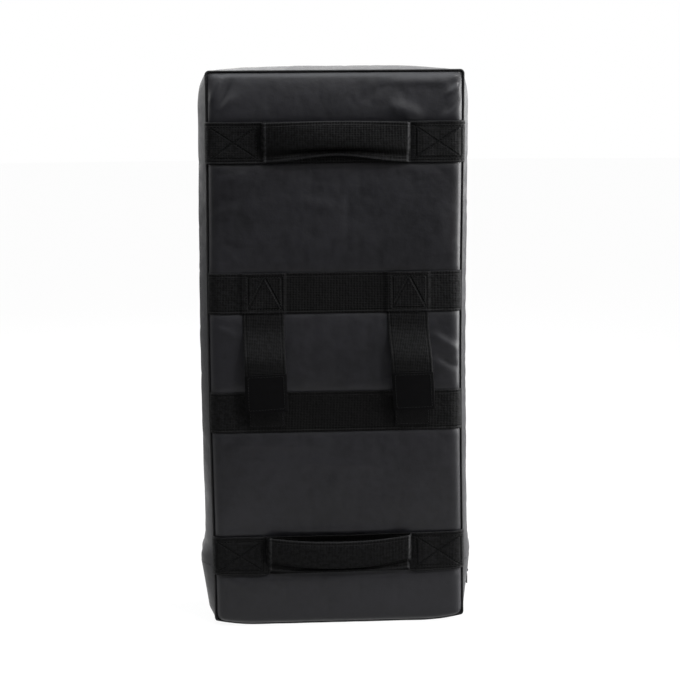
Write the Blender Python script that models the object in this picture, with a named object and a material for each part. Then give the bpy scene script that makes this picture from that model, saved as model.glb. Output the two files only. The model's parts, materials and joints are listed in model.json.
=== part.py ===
# Strike shield: a tall foam pad in a leather cover, with carry handles and forearm straps.
# Metres, +Z up. The strap side faces -Y, the strike side +Y, and the pad stands on z = 0.
# Shapes are drawn about the pad's mid-depth plane and moved to their place by settle().
import math
from collections import namedtuple

import bmesh
import bpy
import numpy as np
from mathutils import Matrix, Vector

# Cover
PAD_WIDTH = 0.318            # between the side seams
PAD_HEIGHT = 0.700           # floor to top seam
PAD_DEPTH = 0.110            # between the two piped seams
CORNER_RADIUS = 0.008        # seam corners
LEATHER = 0.0012
CROWN = 0.008                # each panel's flat stands this far out from its seam
ROLL = 0.014                 # width of a panel's rolled edge
PANEL_EDGE = 0.0035          # the panel's rim, in from the outline
CORNER_SOFTENING = 0.8       # how much rounder a panel's corners grow inwards
SIDE_SWELL = 0.0115          # the gusset's bulge at mid-depth
TOP_SWELL = 0.004
SWELL_FALL = 0.050           # the side bulge dies out over this height below the top
BASE_FLAT = 0.105            # half-width of the base that lies flat on the floor
CORNER_LIFT = 0.0065         # the bottom corners stand off the floor
LIFT_HEIGHT = 0.100          # the lift dies out over this height

# Seams
PIPING_RADIUS = 0.0015
PIPING_INSET = 0.0016
PIPING_OUT = 0.0012          # piping centre, out from the seam plane
RIM = 0.0006                 # the gusset's rim stops short of the seam plane
SEAT = 0.0003                # gap between faces that touch

# Zip round the bottom end
ZIP_END = 0.077              # height of the cross seams where the zip gusset ends
ZIP_END_SWELL = 0.014        # bulge there
ZIP_BASE_SWELL = 0.002       # the same straight ramp carried down to z = 0
ZIP_EASE = 0.030             # the extra bulge dies out over this height above the cross seam
ZIP_SLOT = 0.012             # open slot between the two zip gussets
TAPE_END = 0.084
TAPE_EDGE = 0.0033           # inner edge of each tape, from mid-depth
TAPE_OUTER = 0.014
TAPE = 0.0008
TOOTH_PITCH = 0.0060         # along one row; the rows interleave at half of it
TOOTH_OUTER = 0.0026         # thickness along the chain at the outer face
TOOTH_INNER = 0.0020
TOOTH_ROOT = 0.0022          # the teeth stand on a corded edge, this far from mid-depth
TOOTH_REACH = 0.0009         # past mid-depth, between the teeth of the other row
TOOTH_TOP = 0.0009           # below the leather's face
TOOTH_BOTTOM = 0.0027
CHAIN_RIGHT_END = 0.0585     # heights where the rows of teeth end
CHAIN_LEFT_END = 0.0700
STOP_LENGTH = 0.0025

# Slider and pull tab
SLIDER_HEIGHT = 0.050        # middle of the slider when the zip is shut
SLIDER_LENGTH = 0.014
SLIDER_WIDTH = 0.0104        # at the wide end
SLIDER_TAPER = 0.78          # narrow end over wide end
SLIDER_ROUND = 0.0009        # length of the rounding at each end
SLIDER_NOSE = 0.94           # width left at each end, over the width beside it
SLIDER_CHAMFER = 0.0005      # along the top edges
SLIDER_PLATE = 0.0015
SLIDER_FLANGE = 0.0011
ARCH_THICKNESS = 0.0016
ARCH_BAR = 0.0011
PULL_EYE = 0.0021            # radius of the pull's eye
PULL_BORE = 0.0013
PULL_EYE_WIDTH = 0.0032
PULL_NECK_WIDTH = 0.0026
PULL_NECK_END = 0.0035       # this and the next two are distances below the eye's middle
PULL_SHOULDER = 0.0055
PULL_LENGTH = 0.018
PULL_WIDTH = 0.0068
PULL_CORNER = 0.0014
PULL_THICKNESS = 0.0012

# Foam layers, from the strap side to the strike side
BACKING_FOAM = 0.022         # into the pad from the strap-side seam plane
STRIKE_FOAM = 0.032
FOAM_INSET = 0.0023          # foam face in from the cover's outline
FOAM_EDGE = 0.005            # height of the foam's bevel beside the piping
FOAM_CLEAR = 0.0016          # foam face below a panel's outer face
ZIP_CHANNEL = 0.0030         # extra depth of the groove under the zip tapes
ZIP_CHANNEL_HALF = 0.0152

# Webbing
WEBBING = 0.0015
WEBBING_WIDTH = 0.050
BAND_START = 17.0            # where a band starts on the rolled edge, in degrees round it
UPPER_HANDLE_Z = 0.6125      # middle heights of the four bands
UPPER_ARM_Z = 0.4270
LOWER_ARM_Z = 0.2770
LOWER_HANDLE_Z = 0.0910

# Carry handles
HANDLE_END_START = 22.5      # where a handle's sewn end starts on the rolled edge, in degrees
HANDLE_FOOT = 0.095          # half the span between the sewn ends
HANDLE_TOP = 0.082           # half the span of the grip
FINGER_GAP = 0.0128          # panel to the back of the grip's core
EDGE_CURL_RADIUS = 0.005     # the webbing's long edges curl back round the core
EDGE_CURL_ANGLE = 130.0
CURL_RUN = 0.022             # the curl grows over this length from each end of the grip
UPPER_HANDLE_BOW = 0.0030    # the grip bows up in the middle
LOWER_HANDLE_BOW = -0.0045

# Forearm straps
STRAP_X = 0.090              # middle of each strap's root
STRAP_LENGTH = 0.125         # from the band's lower edge to the tip
STRAP_ROOT_IN = 0.040        # length held under the band
STRAP_HINGE = 0.005          # bend line below the band's lower edge
TAB_START = 0.077
STRAP_BOW_ANGLE = 28.0       # steepest lean away from the pad
STRAP_BOW_LENGTH = 0.066
STRAP_RETURN_ANGLE = -4.0
LEFT_STRAP_LEAN = 1.3        # degrees, sideways
RIGHT_STRAP_LEAN = 3.2
TAB_COVER = 0.0010
TAB_COVER_MARGIN = 0.0006    # the cover stands past the webbing on each side
HOOK_PATCH = 0.0012
HOOK_PATCH_WIDTH = 0.044
HOOK_PATCH_INSET = 0.004     # from the tab's seam and tip
LOOP_PATCH = 0.0011
LOOP_PATCH_WIDTH = 0.044
LOOP_PATCH_HEIGHT = 0.038

# Faceting
BASE_FLAT_STEPS = 2
BASE_LIFT_STEPS = 3
CORNER_STEPS = 3
RAMP_STEPS = 2
SIDE_STEPS = 9
TOP_STEPS = 3
GUSSET_STEPS = 8
ZIP_GUSSET_STEPS = 3
ROLL_STEPS = 4
FOAM_ROLL_STEPS = 2
PIPING_SIDES = 6
RISER_STEPS = 7
GRIP_STEPS = 4
CURL_STEPS = 4
CORE_STEPS = 4
LEAST_CURL = 0.001           # keeps the curl's radius finite where the grip is flat
STRAP_STEPS = 8
TAB_STEPS = 3
PATH_STEPS = 500             # for adding up the strap's curve
EYE_STEPS = 12
BORE_SIDES = 10
PULL_CORNER_STEPS = 2

HALF_WIDTH = PAD_WIDTH / 2
HALF_DEPTH = PAD_DEPTH / 2
PANEL_FACE = HALF_DEPTH + CROWN
BAND_LAYER = SEAT + WEBBING
CORE_RADIUS = EDGE_CURL_RADIUS - WEBBING / 2 - SEAT
HANDLE_FRONT = FINGER_GAP + 2 * CORE_RADIUS + SEAT + WEBBING
MID_Y = HANDLE_FRONT / 2     # puts the bounding box's middle on y = 0

Ring = namedtuple("Ring", "x z nx nz swell")


def material(name, color, roughness, metallic=0.0):
    made = bpy.data.materials.new(name)
    made.use_nodes = True
    shader = made.node_tree.nodes["Principled BSDF"]
    shader.inputs["Base Color"].default_value = (*color, 1.0)
    shader.inputs["Roughness"].default_value = roughness
    shader.inputs["Metallic"].default_value = metallic
    made.diffuse_color = (*color, 1.0)
    return made


# The pad's outline

def corner_radius(inset):
    straight = CORNER_RADIUS - min(inset, PANEL_EDGE)
    return straight + CORNER_SOFTENING * max(0.0, inset - PANEL_EDGE)


def side_heights():
    ramp = np.linspace(CORNER_RADIUS, ZIP_END - SEAT / 2, RAMP_STEPS + 1)
    top = PAD_HEIGHT - CORNER_RADIUS
    wave = (1 - np.cos(np.pi * np.arange(SIDE_STEPS + 1) / SIDE_STEPS)) / 2
    return np.concatenate([ramp, [ZIP_END + SEAT / 2], TAPE_END + (top - TAPE_END) * wave])


def side_swell(z):
    ramp = ZIP_BASE_SWELL + (ZIP_END_SWELL - ZIP_BASE_SWELL) * z / ZIP_END
    extra = (ZIP_END_SWELL - SIDE_SWELL) * np.exp(-((z - ZIP_END) / ZIP_EASE) ** 2)
    near_top = np.clip((z - (PAD_HEIGHT - SWELL_FALL)) / SWELL_FALL, 0, 1)
    return np.where(z <= ZIP_END, ramp, (SIDE_SWELL + extra) * (1 - near_top ** 3))


def top_swell(x):
    return TOP_SWELL * (1 - (x / HALF_WIDTH) ** 4)


def outline(inset):
    # A rounded rectangle, anticlockwise from the middle of the base, seen from the strap side
    radius = corner_radius(inset)
    run = HALF_WIDTH - inset - radius
    low = inset + radius
    high = PAD_HEIGHT - inset - radius
    flat = BASE_FLAT / (HALF_WIDTH - CORNER_RADIUS)
    base = np.concatenate([np.linspace(0, flat, BASE_FLAT_STEPS + 1),
                           np.linspace(flat, 1, BASE_LIFT_STEPS + 1)[1:-1]])
    turn = np.radians(np.linspace(-90, 0, CORNER_STEPS + 1))
    heights = side_heights()
    share = (heights - heights[0]) / (heights[-1] - heights[0])
    top = np.cos(np.radians(np.linspace(0, 90, TOP_STEPS + 1)))[1:]
    ones, none = np.ones_like, np.zeros_like
    corner_swell = side_swell(heights[0]) * np.cos(turn) ** 2
    crest = side_swell(heights[-1]) * np.cos(turn + np.pi / 2) ** 2
    shoulder = top_swell(HALF_WIDTH - CORNER_RADIUS) * np.sin(turn + np.pi / 2) ** 2
    x = np.concatenate([run * base, run + radius * np.cos(turn), 0 * share[1:-1] + run + radius,
                        run + radius * np.cos(turn + np.pi / 2), run * top])
    z = np.concatenate([0 * base + inset, low + radius * np.sin(turn),
                        low + share[1:-1] * (high - low),
                        high + radius * np.sin(turn + np.pi / 2), 0 * top + high + radius])
    nx = np.concatenate([none(base), np.cos(turn), ones(share[1:-1]),
                         np.cos(turn + np.pi / 2), none(top)])
    nz = np.concatenate([-ones(base), np.sin(turn), none(share[1:-1]),
                         np.sin(turn + np.pi / 2), ones(top)])
    swell = np.concatenate([none(base), corner_swell, side_swell(heights[1:-1]),
                            crest + shoulder, top_swell(top * (HALF_WIDTH - CORNER_RADIUS))])
    back = slice(-2, 0, -1)
    return Ring(np.concatenate([x, -x[back]]), np.concatenate([z, z[back]]),
                np.concatenate([nx, -nx[back]]), np.concatenate([nz, nz[back]]),
                np.concatenate([swell, swell[back]]))


STATIONS = len(outline(0.0).x)
FIRST_SIDE = BASE_FLAT_STEPS + BASE_LIFT_STEPS + CORNER_STEPS
ZIP_GUSSET_LAST = FIRST_SIDE + RAMP_STEPS
MAIN_GUSSET_FIRST = ZIP_GUSSET_LAST + 1
TAPE_LAST = ZIP_GUSSET_LAST + 2


def bottom_span(last):
    return np.r_[STATIONS - last:STATIONS, 0:last + 1]


def top_span(first):
    return np.arange(first, STATIONS - first + 1)


def wall_ring(inset, y, span=None):
    # Points on the side wall at one depth; inset is a number or one value for each station
    ring = outline(float(np.min(inset)))
    extra = inset - np.min(inset)
    out = ring.swell * max(0.0, 1 - (y / HALF_DEPTH) ** 2) - extra
    points = np.stack([ring.x + ring.nx * out, 0 * ring.x + y, ring.z + ring.nz * out], axis=-1)
    return points if span is None else points[span]


def panel_ring(depth, angle, side):
    # Round the rolled edge of a panel, at a depth below its outer face; side is -1 or 1 along Y
    turn = math.radians(angle)
    inset = PANEL_EDGE + ROLL * (1 - math.cos(turn)) + depth * math.cos(turn)
    return wall_ring(inset, side * (HALF_DEPTH + (CROWN - depth) * math.sin(turn)))


def settle(points):
    # Lifts the bottom corners off the floor and moves the drawing to the part's own frame
    points = np.array(points, float)
    x = np.clip(np.abs(points[..., 0]), BASE_FLAT, HALF_WIDTH)
    lift = CORNER_LIFT * ((x - BASE_FLAT) / (HALF_WIDTH - BASE_FLAT)) ** 2
    points[..., 2] += lift * np.clip(1 - points[..., 2] / LIFT_HEIGHT, 0, 1)
    points[..., 1] += MID_Y
    return points


# Solids

def add_object(name, vertices, faces, surface, pivot=None, parent=None, sharp=40.0):
    mesh = bpy.data.meshes.new(name)
    origin = np.zeros(3) if pivot is None else np.array(pivot, float)
    mesh.from_pydata([tuple(v) for v in np.asarray(vertices, float) - origin], [], faces)
    shape = bmesh.new()
    shape.from_mesh(mesh)
    bmesh.ops.recalc_face_normals(shape, faces=shape.faces)
    shape.to_mesh(mesh)
    shape.free()
    mesh.shade_smooth()
    mesh.set_sharp_from_angle(angle=math.radians(sharp))
    mesh.materials.append(surface)
    made = bpy.data.objects.new(name, mesh)
    bpy.context.collection.objects.link(made)
    made.location = origin
    if parent is not None:
        made.parent = parent
        made.location = origin - np.array(parent.location)
    return made


def add_pivot(name, place, parent=None):
    empty = bpy.data.objects.new(name, None)
    empty.empty_display_size = 0.01
    bpy.context.collection.objects.link(empty)
    empty.location = place
    if parent is not None:
        empty.parent = parent
        empty.location = Vector(place) - parent.location
    return empty


def loft(rings, closed=False):
    # A solid through rings of equal length; open ends get a flat cap
    count, size = len(rings), len(rings[0])
    faces = []
    for k in range(count if closed else count - 1):
        low, high = k * size, ((k + 1) % count) * size
        faces += [(low + i, low + (i + 1) % size, high + (i + 1) % size, high + i)
                  for i in range(size)]
    if not closed:
        faces += [tuple(range(size)), tuple(range((count - 1) * size, count * size))]
    return np.concatenate(rings), faces


def slab(outer, inner):
    # A thin solid between two grids of points of the same shape
    rows, columns = outer.shape[:2]
    shift = rows * columns

    def at(i, j):
        return i * columns + j

    faces = []
    for i in range(rows - 1):
        for j in range(columns - 1):
            quad = (at(i, j), at(i + 1, j), at(i + 1, j + 1), at(i, j + 1))
            faces += [quad, tuple(shift + v for v in reversed(quad))]
    rim = [at(i, 0) for i in range(rows)] + [at(rows - 1, j) for j in range(1, columns)]
    rim += [at(i, columns - 1) for i in range(rows - 2, -1, -1)]
    rim += [at(0, j) for j in range(columns - 2, 0, -1)]
    for a, b in zip(rim, rim[1:] + rim[:1]):
        faces.append((a, b, shift + b, shift + a))
    return np.concatenate([outer.reshape(-1, 3), inner.reshape(-1, 3)]), faces


# Cover

def panel(name, side, surface):
    angles = np.linspace(90, 0, ROLL_STEPS + 1)
    rings = [panel_ring(LEATHER, a, side) for a in angles]
    rings += [panel_ring(0.0, a, side) for a in reversed(angles)]
    add_object(name, *settled(loft(rings)), surface)


def settled(shape):
    return settle(shape[0]), shape[1]


def gusset(name, depths, span, surface):
    outer = np.stack([wall_ring(0.0, y, span) for y in depths], axis=1)
    inner = np.stack([wall_ring(LEATHER, y, span) for y in depths], axis=1)
    add_object(name, *settled(slab(outer, inner)), surface)


def piping(name, side, surface):
    rings = []
    for k in range(PIPING_SIDES):
        turn = 2 * math.pi * k / PIPING_SIDES
        y = HALF_DEPTH + PIPING_OUT + PIPING_RADIUS * math.sin(turn)
        ring = wall_ring(PIPING_INSET + PIPING_RADIUS * math.cos(turn), side * y)
        rings.append(ring)
    add_object(name, *settled(loft(rings, closed=True)), surface)


# Foam

def channel(inset):
    depth = np.full(STATIONS, inset)
    depth[bottom_span(TAPE_LAST)] += ZIP_CHANNEL
    return depth


def outer_foam(name, side, thickness, surface):
    angles = np.linspace(90, 0, FOAM_ROLL_STEPS + 1)
    rings = [panel_ring(FOAM_CLEAR, a, side) for a in angles]
    rings.append(wall_ring(FOAM_INSET, side * (HALF_DEPTH - FOAM_EDGE)))
    rings.append(wall_ring(FOAM_INSET, side * (HALF_DEPTH - thickness)))
    add_object(name, *settled(loft(rings)), surface)


def core_foam(surface):
    front = -(HALF_DEPTH - BACKING_FOAM) + SEAT
    back = HALF_DEPTH - STRIKE_FOAM - SEAT
    groove = ZIP_CHANNEL_HALF
    rings = [wall_ring(FOAM_INSET, front)]
    rings.append(wall_ring(FOAM_INSET, -groove - ZIP_CHANNEL))
    rings += [wall_ring(channel(FOAM_INSET), -groove), wall_ring(channel(FOAM_INSET), groove)]
    rings.append(wall_ring(FOAM_INSET, groove + ZIP_CHANNEL))
    rings.append(wall_ring(FOAM_INSET, back))
    add_object("core_foam", *settled(loft(rings)), surface)


# Webbing sewn flat on the strap side

def across(height, start, stops):
    # From seam to seam over the panel, at a height above its face: x and y of each point
    angles = np.radians([start] + [a for a in np.linspace(0, 90, ROLL_STEPS + 1) if a > start])
    rolled_x = HALF_WIDTH - PANEL_EDGE - ROLL * (1 - np.cos(angles)) + height * np.cos(angles)
    rolled_y = -(HALF_DEPTH + (CROWN + height) * np.sin(angles))
    x = np.concatenate([-rolled_x, stops, rolled_x[::-1]])
    y = np.concatenate([rolled_y, np.full(len(stops), -PANEL_FACE - height), rolled_y[::-1]])
    return x, y


def upright_strip(path_out, path_in, middle, width=WEBBING_WIDTH):
    # A strip that runs along x with its width upright
    edges = (middle - width / 2, middle + width / 2)
    outer = np.stack([np.stack([path_out[0], path_out[1], 0 * path_out[0] + z], -1)
                      for z in edges], axis=1)
    inner = np.stack([np.stack([path_in[0], path_in[1], 0 * path_in[0] + z], -1)
                      for z in edges], axis=1)
    return settled(slab(outer, inner))


def band(name, middle, surface):
    stops = np.array([-HANDLE_FOOT, -HANDLE_FOOT / 2, 0, HANDLE_FOOT / 2, HANDLE_FOOT])
    outer = across(BAND_LAYER, BAND_START, stops)
    inner = across(SEAT, BAND_START, stops)
    add_object(name, *upright_strip(outer, inner, middle), surface)


def arm_band(name, middle, surface):
    # The upper arm band rises over the two strap roots
    near, far = STRAP_X - WEBBING_WIDTH / 2, STRAP_X + WEBBING_WIDTH / 2
    ramp = 2 * BAND_LAYER
    right = np.array([near - ramp, near - SEAT, far + SEAT, far + ramp])
    lift = np.array([0, BAND_LAYER, BAND_LAYER, 0])
    stops = np.concatenate([-right[::-1], right])
    outer = across(BAND_LAYER, BAND_START, stops)
    inner = across(SEAT, BAND_START, stops)
    rolled = np.zeros((len(outer[0]) - len(stops)) // 2)
    rise = np.concatenate([rolled, lift, lift, rolled])
    raised = [(x, y - rise) for x, y in (outer, inner)]
    add_object(name, *upright_strip(*raised, middle), surface)


# Carry handles

def handle_end(name, side, middle, surface):
    foot = np.array([HANDLE_FOOT + SEAT / 2])
    shapes = []
    for height in (2 * BAND_LAYER, BAND_LAYER + SEAT):
        x, y = across(height, HANDLE_END_START, foot)
        keep = x > 0
        shapes.append((side * x[keep], y[keep]))
    add_object(name, *upright_strip(*shapes, middle), surface)


def riser_path():
    # From the sewn end up to the grip: x and height of the webbing's middle
    t = np.linspace(0, 1, RISER_STEPS + 1)
    foot = BAND_LAYER + SEAT + WEBBING / 2
    top = HANDLE_FRONT - WEBBING / 2
    x = HANDLE_FOOT - SEAT / 2 - (HANDLE_FOOT - HANDLE_TOP - SEAT) * t
    return x, foot + (top - foot) * (1 - np.cos(np.pi * t)) / 2


def riser(name, side, middle, surface):
    x, height = riser_path()
    slope = np.gradient(height, x)
    slope[[0, -1]] = 0
    tilt = np.stack([-slope, np.ones_like(slope)]) / np.sqrt(1 + slope ** 2) * WEBBING / 2
    faces = [(side * (x + s * tilt[0]), -PANEL_FACE - (height + s * tilt[1])) for s in (1, -1)]
    add_object(name, *upright_strip(*faces, middle), surface)


def grip_middle(x, middle, bow):
    return middle + bow * np.cos(np.pi * x / (2 * HANDLE_TOP)) ** 2


def grip(name, middle, bow, surface, pivot, parent):
    # Webbing whose long edges curl back round the core, more in the middle than at its ends
    near_end = np.linspace(HANDLE_TOP - SEAT / 2, HANDLE_TOP - CURL_RUN, CURL_STEPS + 1)
    curled = np.linspace(-near_end[-1], near_end[-1], GRIP_STEPS + 1)[1:-1]
    stops = np.concatenate([-near_end, curled, near_end[::-1]])
    flat = WEBBING_WIDTH / 2 - EDGE_CURL_RADIUS * math.radians(EDGE_CURL_ANGLE)
    bend = np.linspace(0, WEBBING_WIDTH / 2 - flat, CURL_STEPS + 1)
    outer, inner = [], []
    for x in stops:
        share = np.clip((HANDLE_TOP - abs(x)) / CURL_RUN, LEAST_CURL, 1)
        share = share * share * (3 - 2 * share)
        radius = EDGE_CURL_RADIUS / share
        turn = bend / radius
        level = flat + radius * np.sin(turn)
        depth = radius * (1 - np.cos(turn))
        turn = np.concatenate([-turn[::-1], turn])
        level = np.concatenate([-level[::-1], level])
        depth = np.concatenate([depth[::-1], depth])
        for grid, half in ((outer, WEBBING / 2), (inner, -WEBBING / 2)):
            height = HANDLE_FRONT - WEBBING / 2 - depth + half * np.cos(turn)
            z = grip_middle(x, middle, bow) + level + half * np.sin(turn)
            grid.append(np.stack([0 * z + x, -PANEL_FACE - height, z], axis=-1))
    shape = settled(slab(np.array(outer), np.array(inner)))
    add_object(name, *shape, surface, pivot, parent)


def handle_core(name, middle, bow, surface, pivot, parent):
    # A soft bar with round long edges, held in the curled webbing
    flat = WEBBING_WIDTH / 2 - EDGE_CURL_RADIUS * math.radians(EDGE_CURL_ANGLE)
    turn = np.radians(np.linspace(-90, 90, CORE_STEPS + 1))
    level = np.concatenate([flat + CORE_RADIUS * np.cos(turn), -flat - CORE_RADIUS * np.cos(turn)])
    height = FINGER_GAP + CORE_RADIUS + np.concatenate([np.sin(turn), -np.sin(turn)]) * CORE_RADIUS
    reach = HANDLE_TOP - CURL_RUN - SEAT
    rings = [np.stack([0 * level + x, -PANEL_FACE - height, grip_middle(x, middle, bow) + level], -1)
             for x in np.linspace(-reach, reach, GRIP_STEPS + 1)]
    add_object(name, *settled(loft(rings)), surface, pivot, parent)


def handle(which, middle, bow, webbing, foam):
    foot = BAND_LAYER + SEAT + WEBBING / 2
    pivot = settle([0.0, -PANEL_FACE - foot, middle])
    tilt = add_pivot(which + "_handle_tilt", pivot)
    for side, word in ((-1, "left"), (1, "right")):
        handle_end(f"{which}_handle_end_{word}", side, middle, webbing)
        riser(f"{which}_handle_riser_{word}", side, middle, webbing)
    grip(which + "_handle_grip", middle, bow, webbing, pivot, tilt)
    handle_core(which + "_handle_core", middle, bow, foam, pivot, tilt)


# Forearm straps

def strap_path(reach):
    # Distance along the strap from the band's lower edge: height off the panel, drop, lean
    fine = np.linspace(0, STRAP_LENGTH, PATH_STEPS + 1)
    swing = STRAP_BOW_ANGLE * np.sin(np.pi * np.clip(fine / STRAP_BOW_LENGTH, 0, 1))
    late = np.clip((fine - STRAP_BOW_LENGTH) / (STRAP_LENGTH - STRAP_BOW_LENGTH), 0, 1)
    lean = np.radians(swing + STRAP_RETURN_ANGLE * np.sin(late * np.pi / 2))
    step = np.diff(fine, prepend=0)
    height = SEAT + WEBBING / 2 + np.cumsum(np.sin(lean) * step)
    drop = np.cumsum(np.cos(lean) * step)
    inside = np.minimum(reach, 0)
    return (np.interp(reach, fine, height), np.interp(reach, fine, drop) + inside,
            np.interp(reach, fine, lean))


def strap_point(reach, offset, across_x, lean_side):
    # offset is out from the webbing's middle, across_x is measured from the strap's centre line
    height, drop, lean = strap_path(reach)
    height = height + offset * np.cos(lean)
    z = UPPER_ARM_Z - WEBBING_WIDTH / 2 - drop + offset * np.sin(lean)
    x = across_x + np.maximum(reach, 0) * math.tan(math.radians(lean_side))
    return np.stack([x, -PANEL_FACE - height, z], axis=-1)


def strap_piece(name, side, lean_side, reach, offsets, width, surface, pivot=None, parent=None):
    edges = side * STRAP_X + np.array([-width / 2, width / 2])
    grids = [np.stack([strap_point(reach, offset, x, lean_side) for x in edges], axis=1)
             for offset in offsets]
    add_object(name, *settled(slab(*grids)), surface, pivot, parent)


def arm_strap(word, side, lean_side, webbing, leather, hooks):
    half = WEBBING / 2
    root_end = STRAP_HINGE - SEAT / 2
    reach = np.linspace(STRAP_HINGE + SEAT / 2, TAB_START - SEAT / 2, STRAP_STEPS + 1)
    strap_piece(f"arm_strap_root_{word}", side, lean_side,
                np.array([-STRAP_ROOT_IN, 0, root_end]), (half, -half), WEBBING_WIDTH, webbing)
    swing_at = settle(strap_point(np.array(STRAP_HINGE), half, side * STRAP_X, lean_side))
    swing = add_pivot(f"arm_strap_{word}_swing", swing_at)
    strap_piece(f"arm_strap_{word}", side, lean_side, reach, (half, -half),
                WEBBING_WIDTH, webbing, swing_at, swing)
    peel_at = settle(strap_point(np.array(TAB_START), half, side * STRAP_X, lean_side))
    peel = add_pivot(f"strap_tab_{word}_peel", peel_at, swing)
    peel_at = Vector(peel_at)
    tab = np.linspace(TAB_START + SEAT / 2, STRAP_LENGTH, TAB_STEPS + 1)
    strap_piece(f"strap_tab_{word}", side, lean_side, tab, (half, -half),
                WEBBING_WIDTH, webbing)
    cover = np.linspace(TAB_START + TAB_COVER, STRAP_LENGTH + TAB_COVER_MARGIN, TAB_STEPS + 1)
    strap_piece(f"tab_cover_{word}", side, lean_side, cover,
                (half + SEAT + TAB_COVER, half + SEAT), WEBBING_WIDTH + 2 * TAB_COVER_MARGIN, leather)
    hook = np.linspace(TAB_START + HOOK_PATCH_INSET, STRAP_LENGTH - HOOK_PATCH_INSET, TAB_STEPS + 1)
    strap_piece(f"hook_patch_{word}", side, lean_side, hook,
                (-half - SEAT, -half - SEAT - HOOK_PATCH), HOOK_PATCH_WIDTH, hooks)
    for piece in ("strap_tab_", "tab_cover_", "hook_patch_"):
        hang(bpy.data.objects[piece + word], peel, peel_at)
    loop_patch(word, side, lean_side, hooks)


def hang(piece, parent, pivot):
    # Puts a piece's origin on its joint and hangs it from the joint's empty
    piece.data.transform(Matrix.Translation(-pivot))
    piece.parent = parent
    piece.location = (0, 0, 0)


def loop_patch(word, side, lean_side, surface):
    drift = (TAB_START + STRAP_LENGTH) / 2 * math.tan(math.radians(lean_side))
    middle = side * STRAP_X + drift
    half = LOOP_PATCH_WIDTH / 2
    top = BAND_LAYER + SEAT + LOOP_PATCH
    faces = [(np.array([middle - half, middle + half]), np.full(2, -PANEL_FACE - h))
             for h in (top, BAND_LAYER + SEAT)]
    add_object(f"loop_patch_{word}",
               *upright_strip(*faces, LOWER_ARM_Z, LOOP_PATCH_HEIGHT), surface)


# Zip

def chain_line(inset):
    # Mid-depth line of the zip, from the left tape end under the base to the right one
    return wall_ring(inset, 0.0, bottom_span(TAPE_LAST))


def chain_frames(inset):
    # Points, directions and outward normals at even steps along the teeth's middle line
    line = chain_line(inset)
    ring = outline(inset)
    span = bottom_span(TAPE_LAST)
    normal = np.stack([ring.nx[span], 0 * span, ring.nz[span]], axis=-1)
    length = np.concatenate([[0], np.cumsum(np.linalg.norm(np.diff(line, axis=0), axis=1))])
    left = np.interp(-CHAIN_LEFT_END, -line[:len(line) // 2, 2], length[:len(line) // 2])
    right = np.interp(CHAIN_RIGHT_END, line[len(line) // 2:, 2], length[len(line) // 2:])
    steps = np.arange(left, right - TOOTH_OUTER, TOOTH_PITCH / 2)
    at = [np.stack([np.interp(steps, length, v[:, k]) for k in range(3)], -1) for v in (line, normal)]
    outward = at[1] / np.linalg.norm(at[1], axis=1, keepdims=True)
    along = np.stack([-outward[:, 2], 0 * steps, outward[:, 0]], axis=-1)
    return at[0], along, outward


def chain_points(place, along, outward, shift, y, inset):
    # Points beside the chain's middle line: shifted along it, at a depth and an inset
    middle = (TOOTH_TOP + TOOTH_BOTTOM) / 2
    points = place + along * shift + outward * (middle - inset)
    return np.stack([points[..., 0], 0 * points[..., 0] + y, points[..., 2]], axis=-1)


def zip_teeth(name, side, surface):
    # One row as a comb: teeth on the corded edge of their tape
    frames = chain_frames((TOOTH_TOP + TOOTH_BOTTOM) / 2)
    row = [part[(0 if side < 0 else 1)::2] for part in frames]
    halves = np.array([-1, 1])
    cord, tips = [], []
    for place, along, outward in zip(*row):
        for half in halves:
            levels = ((TOOTH_TOP, half * TOOTH_OUTER / 2), (TOOTH_BOTTOM, half * TOOTH_INNER / 2))
            for inset, shift in levels:
                at = (place, along, outward, shift)
                cord.append(chain_points(*at, side * TOOTH_ROOT, inset))
                tips.append(chain_points(*at, -side * TOOTH_REACH, inset))
            middle = (TOOTH_TOP + TOOTH_BOTTOM) / 2
            shift = half * TOOTH_OUTER / 2
            cord.append(chain_points(place, along, outward, shift, side * (TAPE_EDGE - SEAT), middle))
    count = len(cord) // 3
    faces = [(0, 1, 2), (3 * count - 3, 3 * count - 1, 3 * count - 2)]
    for j in range(count - 1):
        top, low, edge = 3 * j, 3 * j + 1, 3 * j + 2
        faces += [(top, top + 3, edge + 3, edge), (edge, edge + 3, low + 3, low)]
        if j % 2:
            faces.append((top, low, low + 3, top + 3))
            continue
        tip = 3 * count + 2 * j
        faces += [(top, tip, tip + 2, top + 3), (low, low + 3, tip + 3, tip + 1),
                  (top, low, tip + 1, tip), (top + 3, tip + 2, tip + 3, low + 3),
                  (tip, tip + 1, tip + 3, tip + 2)]
    add_object(name, settle(np.array(cord + tips)), faces, surface, sharp=30)


def zip_stop(name, end, y_range, surface):
    # A block in line with the teeth, past the first tooth or the last
    places, alongs, outwards = chain_frames((TOOTH_TOP + TOOTH_BOTTOM) / 2)
    at, way = (0, -1) if end == "left" else (-1, 1)
    near = TOOTH_OUTER / 2 + SEAT + (TOOTH_PITCH / 2 if end == "right" else 0)
    rings = []
    for shift in (near, near + STOP_LENGTH):
        corners = ((y_range[0], TOOTH_TOP), (y_range[1], TOOTH_TOP),
                   (y_range[1], TOOTH_BOTTOM), (y_range[0], TOOTH_BOTTOM))
        rings.append(np.array([chain_points(places[at], alongs[at], outwards[at], way * shift, y, inset)
                               for y, inset in corners]))
    add_object(name, *settled(loft(rings)), surface)


def zip_tape(name, side, surface):
    span = bottom_span(TAPE_LAST)
    depths = (side * TAPE_EDGE, side * ZIP_SLOT / 2, side * TAPE_OUTER)
    top = LEATHER + SEAT
    grids = [np.stack([wall_ring(inset, y, span) for y in depths], axis=1)
             for inset in (top, top + TAPE)]
    add_object(name, *settled(slab(*grids)), surface)


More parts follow.
